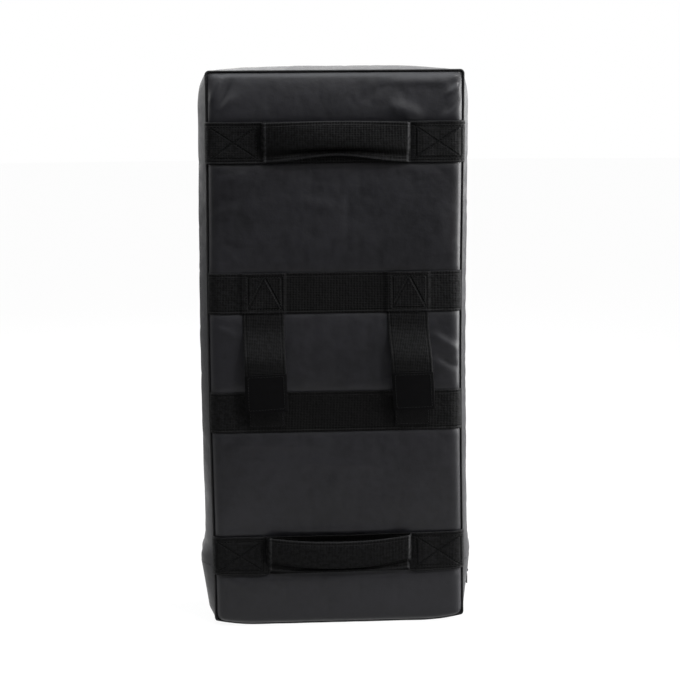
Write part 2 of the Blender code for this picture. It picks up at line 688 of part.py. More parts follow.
def slider_frame():
    # Place and axes of the slider on the straight part of the chain, at the leather's face
    line = settle(wall_ring(0.0, 0.0, [FIRST_SIDE, ZIP_GUSSET_LAST]))
    along = Vector(line[1] - line[0]).normalized()
    low = Vector(line[0])
    place = low + along * ((SLIDER_HEIGHT - low.z) / along.z)
    depth = Vector((0, 1, 0))
    outward = depth.cross(along)
    frame = Matrix((outward, depth, along)).transposed().to_4x4()
    frame.translation = place
    return frame


def slider_body(surface, frame):
    # A saddle over the teeth, wider at its leading end, with an arch for the pull tab
    half = SLIDER_WIDTH / 2
    bottom = -TOOTH_TOP + SEAT
    top = bottom + SLIDER_PLATE
    foot = -LEATHER
    lip = half - SLIDER_FLANGE
    section = [(foot, half), (top - SLIDER_CHAMFER, half), (top, half - SLIDER_CHAMFER),
               (top, SLIDER_CHAMFER - half), (top - SLIDER_CHAMFER, -half), (foot, -half),
               (foot, -lip), (bottom, -lip), (bottom, lip), (foot, lip)]
    end = SLIDER_LENGTH / 2
    near_end = end - SLIDER_ROUND
    rings = []
    for t, width in ((-end, SLIDER_TAPER * SLIDER_NOSE), (-near_end, SLIDER_TAPER),
                     (near_end, 1.0), (end, SLIDER_NOSE)):
        ring = []
        for h, y in section:
            scale = width if abs(y) > lip else max(width, (TAPE_EDGE + SEAT) / lip)
            ring.append([h, y * scale, t])
        rings.append(np.array(ring))
    vertices, faces = loft(rings)
    body = add_object("zip_slider", vertices, faces, surface, sharp=30)
    arch = slider_arch(top, surface)
    union = body.modifiers.new("arch", "BOOLEAN")
    union.operation = "UNION"
    union.object = arch
    body.matrix_world = frame
    arch.parent = body
    return body


def eye_height():
    return -TOOTH_TOP + SEAT + SLIDER_PLATE + SEAT + PULL_EYE


def slider_arch(top, surface):
    inner = PULL_EYE_WIDTH / 2 + SEAT
    outer = inner + ARCH_BAR
    crown = eye_height() + ARCH_BAR / 2
    under = crown - ARCH_BAR
    sunk = top - SLIDER_PLATE / 2
    soft = ARCH_BAR / 2
    outline_points = [(sunk, -outer), (crown - soft, -outer), (crown, -outer + soft),
                      (crown, outer - soft), (crown - soft, outer), (sunk, outer),
                      (sunk, inner), (under, inner), (under, -inner), (sunk, -inner)]
    rings = [np.array([[h, y, t] for h, y in outline_points])
             for t in (-ARCH_THICKNESS / 2, ARCH_THICKNESS / 2)]
    vertices, faces = loft(rings)
    arch = add_object("arch_cutter", vertices, faces, surface)
    arch.hide_render = True
    arch.display_type = "WIRE"
    return arch


def pull_tab(surface, slider, frame):
    # An eye on the slider's arch and a flat tab that hangs straight down from it
    centre = frame @ Vector((eye_height(), 0, 0))
    gap = math.asin(PULL_THICKNESS / 2 / PULL_EYE)
    turn = np.linspace(gap - math.pi / 2, 3 * math.pi / 2 - gap, EYE_STEPS + 1)
    eye_half = PULL_EYE_WIDTH / 2
    rings = [np.stack([PULL_EYE * np.cos(turn), 0 * turn + y, PULL_EYE * np.sin(turn)], axis=-1)
             for y in (-eye_half, eye_half)]
    eye, eye_faces = loft(rings)
    body = add_object("zip_pull", eye + np.array(centre), eye_faces, surface, centre, sharp=30)
    turn = np.radians(np.linspace(0, 90, PULL_CORNER_STEPS + 1))
    full, neck = PULL_WIDTH / 2, PULL_NECK_WIDTH / 2
    y = np.concatenate([[neck, neck, full], full - PULL_CORNER * (1 - np.cos(turn))])
    z = -np.concatenate([[(PULL_BORE + PULL_EYE) / 2, PULL_NECK_END, PULL_SHOULDER],
                         PULL_LENGTH - PULL_CORNER * (1 - np.sin(turn))])
    y, z = np.concatenate([y, -y[::-1]]), np.concatenate([z, z[::-1]])
    rings = [np.stack([0 * y + h, y, z], axis=-1)
             for h in (-PULL_THICKNESS / 2, PULL_THICKNESS / 2)]
    tab, tab_faces = loft(rings)
    tab_object = add_object("pull_blade", tab, tab_faces, surface)
    bore = bpy.data.objects.new("pull_bore", bpy.data.meshes.new("pull_bore"))
    cutter = bmesh.new()
    bmesh.ops.create_cone(cutter, cap_ends=True, segments=BORE_SIDES, radius1=PULL_BORE,
                          radius2=PULL_BORE, depth=2 * PULL_EYE_WIDTH,
                          matrix=Matrix.Rotation(math.pi / 2, 4, "X"))
    cutter.to_mesh(bore.data)
    cutter.free()
    bpy.context.collection.objects.link(bore)
    for guide, operation in ((tab_object, "UNION"), (bore, "DIFFERENCE")):
        guide.hide_render = True
        guide.display_type = "WIRE"
        guide.parent = body
        change = body.modifiers.new(guide.name, "BOOLEAN")
        change.operation = operation
        change.object = guide
    body.parent = slider
    body.matrix_parent_inverse = frame.inverted()
    return body


def build():
    for old in list(bpy.data.objects):
        bpy.data.objects.remove(old, do_unlink=True)

    leather = material("leather", (0.021, 0.021, 0.025), 0.42)
    trim = material("piping", (0.008, 0.008, 0.009), 0.5)
    webbing = material("webbing", (0.007, 0.007, 0.008), 0.75)
    smooth_tab = material("tab_leather", (0.013, 0.013, 0.015), 0.5)
    hooks = material("hook_and_loop", (0.003, 0.003, 0.004), 0.9)
    firm_foam = material("firm_foam", (0.10, 0.10, 0.11), 0.9)
    soft_foam = material("soft_foam", (0.55, 0.53, 0.48), 0.95)
    tape = material("zip_tape", (0.010, 0.010, 0.011), 0.8)
    nylon = material("zip_nylon", (0.015, 0.015, 0.016), 0.4)
    metal = material("black_metal", (0.03, 0.03, 0.032), 0.35, 0.9)

    panel("back_panel", -1, leather)
    panel("strike_panel", 1, leather)
    edge = HALF_DEPTH - RIM
    gusset("main_gusset", np.linspace(-edge, edge, GUSSET_STEPS + 1),
           top_span(MAIN_GUSSET_FIRST), leather)
    zip_span = bottom_span(ZIP_GUSSET_LAST)
    for side, word in ((-1, "back"), (1, "strike")):
        depths = side * np.r_[ZIP_SLOT / 2, np.linspace(TAPE_OUTER, edge, ZIP_GUSSET_STEPS + 1)]
        gusset(f"zip_gusset_{word}", depths, zip_span, leather)
        piping(f"{word}_piping", side, trim)
        zip_tape(f"zip_tape_{word}", side, tape)
        zip_teeth(f"zip_teeth_{word}", side, nylon)
    reach = TAPE_EDGE - SEAT
    zip_stop("zip_bottom_stop", "left", (-reach, reach), nylon)
    zip_stop("zip_top_stop_back", "right", (-reach, -SEAT / 2), nylon)
    zip_stop("zip_top_stop_strike", "right", (SEAT / 2, reach), nylon)

    outer_foam("backing_foam", -1, BACKING_FOAM, firm_foam)
    core_foam(soft_foam)
    outer_foam("strike_foam", 1, STRIKE_FOAM, soft_foam)

    band("upper_handle_band", UPPER_HANDLE_Z, webbing)
    band("lower_handle_band", LOWER_HANDLE_Z, webbing)
    arm_band("upper_arm_band", UPPER_ARM_Z, webbing)
    band("lower_arm_band", LOWER_ARM_Z, webbing)
    handle("upper", UPPER_HANDLE_Z, UPPER_HANDLE_BOW, webbing, firm_foam)
    handle("lower", LOWER_HANDLE_Z, LOWER_HANDLE_BOW, webbing, firm_foam)
    arm_strap("left", -1, LEFT_STRAP_LEAN, webbing, smooth_tab, hooks)
    arm_strap("right", 1, RIGHT_STRAP_LEAN, webbing, smooth_tab, hooks)

    frame = slider_frame()
    slider = slider_body(metal, frame)
    pull_tab(metal, slider, frame)


build()
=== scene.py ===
import json
import math

import bpy
import numpy as np
from mathutils import Matrix, Vector


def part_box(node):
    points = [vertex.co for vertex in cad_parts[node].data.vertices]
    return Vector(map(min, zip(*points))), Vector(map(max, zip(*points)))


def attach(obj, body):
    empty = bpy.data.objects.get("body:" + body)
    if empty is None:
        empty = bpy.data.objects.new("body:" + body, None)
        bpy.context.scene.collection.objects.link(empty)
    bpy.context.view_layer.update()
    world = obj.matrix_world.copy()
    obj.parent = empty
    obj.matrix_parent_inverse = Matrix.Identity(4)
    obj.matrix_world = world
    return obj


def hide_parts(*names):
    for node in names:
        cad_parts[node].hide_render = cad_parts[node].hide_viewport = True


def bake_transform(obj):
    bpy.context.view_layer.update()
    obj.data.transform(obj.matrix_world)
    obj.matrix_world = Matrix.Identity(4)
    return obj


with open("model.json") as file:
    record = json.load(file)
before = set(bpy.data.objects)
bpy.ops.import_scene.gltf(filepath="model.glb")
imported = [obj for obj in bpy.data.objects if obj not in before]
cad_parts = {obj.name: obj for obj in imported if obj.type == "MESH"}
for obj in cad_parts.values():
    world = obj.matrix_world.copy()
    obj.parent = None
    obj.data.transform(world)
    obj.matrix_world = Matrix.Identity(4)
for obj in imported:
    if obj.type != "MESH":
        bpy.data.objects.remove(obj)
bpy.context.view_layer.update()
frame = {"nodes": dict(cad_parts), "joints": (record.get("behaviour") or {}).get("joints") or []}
scene = bpy.context.scene
print("frame loaded:", len(frame["nodes"]), "nodes")

# Sizes read from the frame, all in metres. The strap side faces -Y.
backLow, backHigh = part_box("back_panel")
strikeLow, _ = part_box("strike_panel")
sides = {"left": -1, "right": 1}

pad = {
    "cadInset": 0.0035,       # the solid panels' edge, in from the pad's outline
    "seamInset": 0.0018,      # the sewn panels' edge
    "cornerRadius": 0.0048,
    "rollWidth": 0.014,       # a panel's edge rolls over this width
    "cornerPower": 3.8,       # how square the roll runs round a corner
    "sideSwell": 0.0106, "topSwell": 0.0066, "swellFall": 0.050,
    "zipHeight": 0.077, "zipEndSwell": 0.014, "zipBaseSwell": 0.002, "zipEase": 0.030,
    "zipSink": 0.0042, "zipSinkEase": 0.003,      # how deep the wall lies under the zip's two strips
    "stillOver": 0.002, "stillEase": 0.010,       # the wall has no folds up to here over the zip's end
    "bulgePower": 3.0, "zipSlot": 0.006, "zipCut": 0.0003,
    # beside the zip both halves of a side wall puff out, up to a height over the floor
    "puffs": {"left": {"height": 0.0046, "top": 0.104}, "right": {"height": 0.0008, "top": 0.077}},
    "puffTopEase": 0.020, "puffFootEase": 0.015,
    "baseFlat": 0.105, "cornerLift": 0.0065, "liftHeight": 0.100,
    "sway": 0.0028,           # the whole pad leans this far to the left at half its height
    "topFall": 0.0062, "topFallHeight": 0.066,    # the strap side slopes back this much under its top
    "pitch": 0.0025, "rollSteps": 8, "gussetRows": 38, "wallMargin": 0.0006,
}
halfWidth = backHigh.x + pad["cadInset"]
padHeight = backHigh.z + pad["cadInset"]
midY = (backHigh.y + strikeLow.y) / 2
halfDepth = (strikeLow.y - backHigh.y) / 2
crown = backHigh.y - backLow.y
faceY = backLow.y


# Numbers

def smooth(value):
    # 3v^2 - 2v^3 between 0 and 1
    value = np.clip(value, 0.0, 1.0)
    return value * value * (3 - 2 * value)


def cubicWeights(places, count, closed=False):
    # Catmull-Rom weights that read a row of count values at fractional places
    places = np.asarray(places, float)
    first = np.floor(places).astype(int) if closed else np.clip(np.floor(places), 0, count - 2).astype(int)
    t = places - first
    parts = [-0.5 * t + t ** 2 - 0.5 * t ** 3, 1 - 2.5 * t ** 2 + 1.5 * t ** 3,
             0.5 * t + 2 * t ** 2 - 1.5 * t ** 3, -0.5 * t ** 2 + 0.5 * t ** 3]
    weights = np.zeros((len(places), count))
    rows = np.arange(len(places))
    for step, part in enumerate(parts):
        at = first + step - 1
        at = at % count if closed else np.clip(at, 0, count - 1)
        np.add.at(weights, (rows, at), part)
    return weights


def spread(field, rowPlaces, columnPlaces, closedRows=False, closedColumns=False):
    # Reads a coarse field at fractional rows and columns, smoothly
    down = cubicWeights(rowPlaces, field.shape[0], closedRows)
    over = cubicWeights(columnPlaces, field.shape[1], closedColumns)
    part = np.tensordot(down, field, axes=(1, 0))
    return np.moveaxis(np.tensordot(part, over, axes=(1, 1)), -1, 1)


def blur(field, cells, axis, closed=False):
    # Mean along one axis, weighted by a bell curve of this many cells
    reach = int(3 * cells)
    kernel = np.exp(-0.5 * (np.arange(-reach, reach + 1) / cells) ** 2)
    kernel /= kernel.sum()
    pads = [(reach, reach) if a == axis else (0, 0) for a in range(field.ndim)]
    wide = np.pad(field, pads, mode="wrap" if closed else "edge")
    moved = [np.take(wide, np.arange(k, k + field.shape[axis]), axis=axis) * w
             for k, w in enumerate(kernel)]
    return np.sum(moved, axis=0)


def softNoise(rowShares, columnShares, cells, seed, closedRows=False, closedColumns=False):
    # Random values from -1 to 1 on a coarse grid, read smoothly at shares of its height and width
    values = np.random.default_rng(seed).uniform(-1, 1, cells)
    rowPlaces = np.asarray(rowShares, float) * (cells[0] - (not closedRows))
    columnPlaces = np.asarray(columnShares, float) * (cells[1] - (not closedColumns))
    return spread(values, rowPlaces, columnPlaces, closedRows, closedColumns)


def sampleGrid(grid, rowPlaces, columnPlaces):
    # Straight-line reading between a grid's points, at arrays of fractional rows and columns
    rowPlaces = np.clip(rowPlaces, 0, grid.shape[0] - 1.001)
    columnPlaces = np.clip(columnPlaces, 0, grid.shape[1] - 1.001)
    j, i = np.floor(rowPlaces).astype(int), np.floor(columnPlaces).astype(int)
    b, a = (rowPlaces - j)[..., None], (columnPlaces - i)[..., None]
    low = grid[j, i] * (1 - a) + grid[j, i + 1] * a
    high = grid[j + 1, i] * (1 - a) + grid[j + 1, i + 1] * a
    return low * (1 - b) + high * b


def unit(vectors):
    return vectors / np.maximum(np.linalg.norm(vectors, axis=-1, keepdims=True), 1e-12)


def gridNormals(points, closedRows=False, closedColumns=False):
    # Columns' direction crossed with rows' direction
    def along(axis, closed):
        if closed:
            return np.roll(points, -1, axis) - np.roll(points, 1, axis)
        return np.gradient(points, axis=axis)
    return unit(np.cross(along(1, closedColumns), along(0, closedRows)))


# Meshes

def makeMesh(name, points, faces, finish=None, uv=None, smoothAngle=None):
    mesh = bpy.data.meshes.new(name)
    mesh.from_pydata(np.asarray(points, float).reshape(-1, 3).tolist(), [], [list(f) for f in faces])
    if uv is not None:
        layer = mesh.uv_layers.new(name="cloth")
        layer.data.foreach_set("uv", np.concatenate(uv).astype(np.float32).ravel())
    mesh.shade_smooth()
    if smoothAngle is not None:
        mesh.set_sharp_from_angle(angle=math.radians(smoothAngle))
    if finish is not None:
        mesh.materials.append(finish)
    made = bpy.data.objects.new(name, mesh)
    scene.collection.objects.link(made)
    return made


def ringFaces(rings, size, joined=False, capped=False):
    # Quads between neighbouring rings of points. The last ring may join the first, or both be capped.
    i, j = np.divmod(np.arange((rings - (not joined)) * size), size)
    nextI, nextJ = (i + 1) % rings, (j + 1) % size
    faces = np.stack([i * size + j, i * size + nextJ, nextI * size + nextJ, nextI * size + j], 1).tolist()
    if capped:
        faces += [list(range(size))[::-1], list(range((rings - 1) * size, rings * size))]
    return faces


def outward(points, faces, uv=None):
    # Turns a closed body's faces round if it is inside out. Its volume is the sum of the signed cones
    # under all faces, each cut into a fan of triangles.
    flat = points.reshape(-1, 3)
    fans = np.array([(face[0], a, b) for face in faces for a, b in zip(face[1:-1], face[2:])])
    first, second, third = (flat - flat.mean(axis=0))[fans].transpose(1, 0, 2)
    if np.sum(first * np.cross(second, third)) < 0:
        faces = [face[::-1] for face in faces]
        uv = uv and [corners[::-1] for corners in uv]
    return faces, uv


def webStrip(name, centre, thickness, finish, edgeSteps=3, uvStart=0.0):
    # A strip of cloth: each row of the centre grid is offset to both sides by half the thickness,
    # and its two long edges are closed by half circles. Rows run along the strip.
    rows, columns = centre.shape[:2]
    normal = gridNormals(centre)
    half = thickness / 2
    angles = np.linspace(0, np.pi, edgeSteps + 2)[1:-1]
    side = {end: unit(centre[:, end] - centre[:, near]) for end, near in ((0, 1), (-1, -2))}

    def arc(end, turn):
        lift = normal[:, end, None] * np.cos(turn)[None, :, None]
        out = side[end][:, None] * np.sin(turn)[None, :, None]
        return centre[:, end, None] + (lift + out) * half

    ring = np.concatenate([centre + normal * half, arc(-1, angles),
                           (centre - normal * half)[:, ::-1], arc(0, angles[::-1])], axis=1)
    size = ring.shape[1]
    along = np.cumsum(np.linalg.norm(np.diff(centre[:, columns // 2], axis=0), axis=1))
    along = np.concatenate([[0], along]) + uvStart
    across = np.cumsum(np.linalg.norm(np.diff(centre[rows // 2], axis=0), axis=1))
    across = np.concatenate([[0], across])
    edge = across[-1] + half * angles
    over = np.concatenate([across, edge, across[::-1], -half * angles[::-1], [0.0]])
    faces = ringFaces(rows, size)
    i, j = np.divmod(np.arange(len(faces)), size)
    uv = list(np.stack([along[np.stack([i, i, i + 1, i + 1], 1)],
                        over[np.stack([j, j + 1, j + 1, j], 1)]], -1))
    for row, flip in ((0, True), (rows - 1, False)):       # close both ends
        base = row * size
        bottom = 2 * columns + edgeSteps - 1
        caps = [[base + c, base + c + 1, base + bottom - c - 1, base + bottom - c]
                for c in range(columns - 1)]
        caps.append([base + columns - 1 + k for k in range(edgeSteps + 2)])
        caps.append([base + bottom] + [base + bottom + k for k in range(1, edgeSteps + 1)] + [base])
        for cap in caps:
            cap = cap[::-1] if flip else cap
            faces.append(cap)
            uv.append(np.array([[along[row], over[v - base]] for v in cap]))
    faces, uv = outward(ring, faces, uv)
    return makeMesh(name, ring, faces, finish, uv, 50)


def tubeAround(name, centre, axisA, axisB, radius, finish, corners=10):
    # A round cord along a closed path; axisA and axisB span its section at each point
    turn = np.linspace(0, 2 * np.pi, corners, endpoint=False)[None, :, None]
    ring = axisA[:, None] * np.cos(turn) + axisB[:, None] * np.sin(turn)
    points = centre[:, None] + ring * np.asarray(radius)[..., None, None]
    faces, _ = outward(points, ringFaces(len(centre), corners, joined=True))
    return makeMesh(name, points, faces, finish)


def place(piece, body, slot, *nodes, blend=None):
    if blend:
        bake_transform(piece)
    else:
        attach(piece, body)
    if nodes:
        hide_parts(*nodes)
    return piece


# Materials

class Nodes:
    # A node tree. Sums come from math and every other node from node, whose sockets are given by
    # name, with _ for a space, or as n and a number.
    def __init__(self, tree):
        self.tree = tree

    def plug(self, target, value):
        if isinstance(value, Wire):
            self.tree.links.new(value.socket, target)
        else:
            target.default_value = value

    def node(self, kind, settings=None, output=0, **sockets):
        made = self.tree.nodes.new(kind)
        for key, value in (settings or {}).items():
            setattr(made, key, value)
        for socket, value in sockets.items():
            key = int(socket[1:]) if socket[1:].isdigit() else socket.replace("_", " ")
            self.plug(made.inputs[key], value)
        return Wire(self, made.outputs[output])

    def math(self, operation, *values):
        numbered = {f"n{k}": value for k, value in enumerate(values)}
        return self.node("ShaderNodeMath", {"operation": operation}, **numbered)

    def split(self, vector):
        parts = self.node("ShaderNodeSeparateXYZ", n0=vector).socket.node.outputs
        return [Wire(self, part) for part in parts]

    def rays(self, *kinds):
        # For each kind, 1 where a ray is of that kind
        path = self.node("ShaderNodeLightPath").socket.node
        return [Wire(self, path.outputs[f"Is {kind} Ray"]) for kind in kinds]


class Wire:
    # A socket that takes part in sums as a number does
    def __init__(self, nodes, socket):
        self.nodes, self.socket = nodes, socket

    def __add__(self, other):
        return self.nodes.math("ADD", self, other)

    def __sub__(self, other):
        return self.nodes.math("SUBTRACT", self, other)

    def __rsub__(self, other):
        return self.nodes.math("SUBTRACT", other, self)

    def __mul__(self, other):
        return self.nodes.math("MULTIPLY", self, other)

    def __truediv__(self, other):
        return self.nodes.math("DIVIDE", self, other)

    def __rtruediv__(self, other):
        return self.nodes.math("DIVIDE", other, self)

    __radd__ = __add__
    __rmul__ = __mul__

    def wave(self):
        return self.nodes.math("SINE", self)

    def size(self):
        return self.nodes.math("ABSOLUTE", self)


class Finish(Nodes):
    # One material: its shader's own values, and nodes that vary over the surface
    def __init__(self, name, **values):
        self.material = bpy.data.materials.new(name)
        self.material.use_nodes = True
        super().__init__(self.material.node_tree)
        self.shader = self.tree.nodes["Principled BSDF"]
        self.wear(**values)

    def place(self, kind="Object"):
        return self.node("ShaderNodeTexCoord", output=kind)

    def stretch(self, vector, x, y, z):
        return self.node("ShaderNodeVectorMath", {"operation": "MULTIPLY"}, n0=vector, n1=(x, y, z))

    def noise(self, vector, scale, detail=2.0, roughness=0.5):
        return self.node("ShaderNodeTexNoise", Vector=vector, Scale=scale, Detail=detail,
                         Roughness=roughness)

    def cells(self, vector, scale, feature="F1"):
        return self.node("ShaderNodeTexVoronoi", {"feature": feature}, Vector=vector, Scale=scale)

    def ease(self, value, low, high, start=0.0, end=1.0):
        return self.node("ShaderNodeMapRange", {"interpolation_type": "SMOOTHSTEP"}, Value=value,
                         From_Min=low, From_Max=high, To_Min=start, To_Max=end)

    def tint(self, share, first, second):
        first = first if isinstance(first, Wire) else (*first, 1.0)
        return self.node("ShaderNodeMix", {"data_type": "RGBA"}, output=2, Factor=share,
                         n6=first, n7=(*second, 1.0))

    def bump(self, height, distance, strength=1.0, below=None):
        links = {"Height": height, "Distance": distance, "Strength": strength}
        if below is not None:
            links["Normal"] = below
        return self.node("ShaderNodeBump", **links)

    def wear(self, **sockets):
        for socket, value in sockets.items():
            self.plug(self.shader.inputs[socket.replace("_", " ")], value)
        return self.material


# The scale of each pattern in the leather, and how much each changes its roughness
hide = {"creases": 42.0, "broad": 9.0, "mottle": 135.0, "scuffs": 160.0,
        "broadSheen": 0.24, "creaseSheen": 0.20, "scuffSheen": 0.08}


def leatherFinish(name, look):
    # Cells of grain about a millimetre wide, finer pores, and broad soft creasing, under a thin coat
    made = Finish(name, IOR=look["ior"], Coat_Weight=look.get("coat", 0.0), Coat_Roughness=0.26, Coat_IOR=1.5)
    at = made.place()
    grain = made.cells(at, look["grain"], "SMOOTH_F1")
    pores = made.noise(at, look["grain"] * 2.2, 3.0, 0.6)
    creases = made.noise(made.stretch(at, 1.0, 1.0, 1.7), hide["creases"], 4.0, 0.55)
    broad = made.noise(at, hide["broad"], 3.0, 0.5)
    mottle = made.noise(at, hide["mottle"], 2.0, 0.5)
    scuff = made.ease(made.noise(at, hide["scuffs"], 2.0, 0.7), 0.62, 0.78)
    rough = look["roughness"] + (broad - 0.5) * hide["broadSheen"] \
        + (creases + mottle - 1) * hide["creaseSheen"] + scuff * hide["scuffSheen"]
    shade = made.ease(broad * 0.4 + creases * 0.3 + mottle * 0.3, 0.34, 0.66)
    fold = made.bump(creases * 0.7 + mottle * 0.3, 0.0016, look["creasing"])
    fine = made.bump(grain * 0.7 + pores * 0.3, 0.00022, look["depth"], fold)
    return made.wear(Base_Color=made.tint(shade, look["dark"], look["light"]),
                     Roughness=rough, Normal=fine)


# Where marks on webbing start and end: from its edge, from a seam, from a grip's crease (for painted shade),
# and from the turn of riser into grip (for a painted highlight)
marks = {"bead": (0.0017, 0.0023), "grooveIn": (0.0018, 0.0028), "grooveOut": (0.0032, 0.0046),
         "seam": (0.0003, 0.0017), "creaseIn": (-0.0130, -0.0045), "creaseOut": (0.0024, 0.0052),
         "glintIn": (-0.0016, -0.0002), "glintOut": (0.0012, 0.0034)}


def sewnLines(made, boxes):
    # How near a point is to a sewn box, its cross or its triangle: 1 on the seam, 0 away from it
    total = 0.0
    x, _, z = made.split(made.place())
    for box in boxes:
        wide, tall = box["halfWide"], box["halfTall"]
        u = ((x - box["x"]) / wide).size()
        v = (z - box["z"]) / tall
        if box["peak"]:
            inner = (u * 2 + v - 1).size() * (wide * tall / math.hypot(2 * tall, wide))
        else:
            inner = (u - v.size()).size() * (wide * tall / math.hypot(wide, tall))
        far = made.math("MAXIMUM", u, v.size())
        edge = (far - 1).size() * min(wide, tall)
        seam = made.ease(made.math("MINIMUM", inner, edge), *marks["seam"], 1.0, 0.0)
        total = seam * made.ease(far, 1.02, 1.08, 1.0, 0.0) + total
    return total
    return total


def webbingFinish(name, look, boxes=(), fold=None, middleShade=None, riserGlint=False):
    # Ribs across the strip, each made of yarns side by side; a firm bead along both edges and a
    # groove inside it; sewn boxes press grooves into the cloth. The colour is painted with light and
    # shade: lighter crests and bead, a darker groove and sewn lines. fold paints shade into a handle's
    # crease, the next argument paints shade on a band's middle, and the last a highlight on the turn of riser
    # into grip.
    made = Finish(name, IOR=look["ior"])
    cloth = made.place("UV")
    along, across, _ = made.split(cloth)
    wander = made.noise(cloth, 260.0, 2.0)
    rib = (along * (math.pi / look["rib"]) + wander * 0.5).wave().size()
    yarn = (across * (math.pi / look["yarn"]) + wander * 0.9).wave().size()
    fuzz = made.noise(cloth, 2600.0, 2.0, 0.7)
    weave = made.ease(made.noise(cloth, look["patches"], 3.0, 0.6), 0.34, 0.66)
    rim = look["width"] / 2 - (across - look["width"] / 2).size()
    bead = made.ease(rim, *marks["bead"], 1.0, 0.0)
    groove = made.ease(rim, *marks["grooveIn"]) * made.ease(rim, *marks["grooveOut"], 1.0, 0.0)
    sewn = sewnLines(made, boxes) if boxes else 0.0
    creaseShade, kept = 0.0, 1.0
    if fold or middleShade or riserGlint:
        aside = made.split(made.place())[0].size()
    # Painted shade in the crease where a grip's cloth turns under
    if fold:
        inner = aside / grip["top"]
        middle, end = [fold[key] * look["width"] for key in ("creaseMiddle", "creaseEnd")]
        away = across - (inner * inner * (end - middle) + middle)
        creaseShade = made.ease(away, *marks["creaseIn"]) * made.ease(away, *marks["creaseOut"], 1.0, 0.0)
    # Painted shade: darker towards a band's middle, most where a handle stands over it
    if middleShade:
        kept = made.ease(aside, middleShade["from"], middleShade["to"], middleShade["kept"], 1.0)
    height = rib * 0.40 + yarn * 0.26 + weave * 0.24 + fuzz * 0.10
    # Painted highlight: rib crests and the edge bead are coloured lighter
    lit = made.ease(height, 0.20, 0.90) + bead * look["bead"]
    height = height + bead * 0.5 - groove * 0.5 - sewn * 1.3
    # Painted shade: darker in the groove inside the bead and along sewn lines, and the crease and band shade
    # from above
    shade = (lit * 0.45 + weave * 0.55) * (1 - groove * 0.7) * (1 - sewn * 0.75) * (1 - creaseShade * 0.9) * kept
    color = made.tint(shade, look["dark"], look["light"])
    # Painted highlight on the turn of riser into grip, where the fold catches the light
    if riserGlint:
        glintIn, glintOut = [[grip["top"] + place for place in marks[key]] for key in ("glintIn", "glintOut")]
        riserHighlight = made.ease(aside, *glintIn) * made.ease(aside, *glintOut, 1.0, 0.0)
        color = made.tint(riserHighlight * (0.35 + weave * 0.5), color, look["riserHighlight"])
    return made.wear(Base_Color=color,
                     Roughness=look["roughness"] - lit * 0.10 - (weave - 0.5) * 0.14 + sewn * 0.1,
                     Normal=made.bump(height, look["relief"], 0.85))


def threadFinish(name, look):
    # Twisted thread: fine ridges in object space
    made = Finish(name, IOR=look["ior"])
    twist = made.noise(made.place(), 2400.0, 2.0, 0.7)
    return made.wear(Base_Color=made.tint(twist, look["dark"], look["light"]),
                     Roughness=0.5 + twist * 0.2, Normal=made.bump(twist, 0.0001, 0.6))


def fuzzFinish(name, look):
    # Loose loops or hooks: small cells over a hairy noise
    made = Finish(name, IOR=look["ior"])
    at = made.place()
    tuft = made.cells(at, look["scale"])
    hair = made.noise(at, look["scale"] * 2.5, 4.0, 0.75)
    height = (1 - tuft) * 0.5 + hair * 0.5
    return made.wear(Base_Color=made.tint(made.ease(height, 0.3, 0.8), look["dark"], look["light"]),
                     Roughness=0.85 + (hair - 0.5) * 0.2, Normal=made.bump(height, look["relief"], 1.0))


def hardFinish(name, look, metallic=0.0):
    # Moulded nylon or painted metal: faint orange peel and rubbed spots
    made = Finish(name, IOR=1.5, Metallic=metallic)
    at = made.place()
    peel = made.noise(at, 900.0, 2.0)
    rub = made.ease(made.noise(at, 240.0, 3.0, 0.6), 0.55, 0.75)
    return made.wear(Base_Color=made.tint(rub, look["dark"], look["light"]),
                     Roughness=look["roughness"] + peel * 0.12 - rub * 0.08,
                     Normal=made.bump(peel, 0.00005, 0.5))


# Bands across the pad. rise is how much higher than drawn a band is sewn at its left and right end,
# narrower what its width loses, and the last entry is painted shade that darkens a band's middle more than
# its ends: most behind a handle, gently on the arm bands.
bands = {
    "upper_handle_band": {"piece": "upperHandleBand", "rise": (0.0, 0.0), "narrower": 0.0,
                          "middleShade": {"kept": 0.12, "from": 0.086, "to": 0.094}},
    "upper_arm_band": {"piece": "upperArmBand", "rise": (0.0, 0.0), "narrower": 0.0,
                       "middleShade": {"kept": 0.25, "from": 0.040, "to": 0.140}},
    "lower_arm_band": {"piece": "lowerArmBand", "rise": (0.0, 0.0), "narrower": 0.0,
                       "middleShade": {"kept": 0.10, "from": 0.060, "to": 0.150}},
    "lower_handle_band": {"piece": "lowerHandleBand", "rise": (0.0012, 0.0034), "narrower": 0.0022,
                          "middleShade": {"kept": 0.12, "from": 0.080, "to": 0.092}},
}
for node, band in bands.items():
    low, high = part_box(node)
    band["middle"], band["width"] = (low.z + high.z) / 2, high.z - low.z


def bandRise(node, x):
    # How much higher than drawn a band is sewn, at a place across the pad
    left, right = bands[node]["rise"]
    return left + (right - left) * (np.asarray(x) / halfWidth + 1) / 2


# Where the webbing is sewn down: boxes with a cross at the handles' ends, with a triangle at the straps
sewing = {"handleIn": 0.003, "handleFrom": 0.0978, "handleHalfTall": 0.019,
          "rootIn": 0.004, "rootHalfTall": 0.020}


def sewnBox(low, high, node, halfTall, peak):
    x = (low + high) / 2
    z = bands[node]["middle"] + float(bandRise(node, x))
    return {"x": x, "halfWide": (high - low) / 2, "z": z, "halfTall": halfTall, "peak": peak}


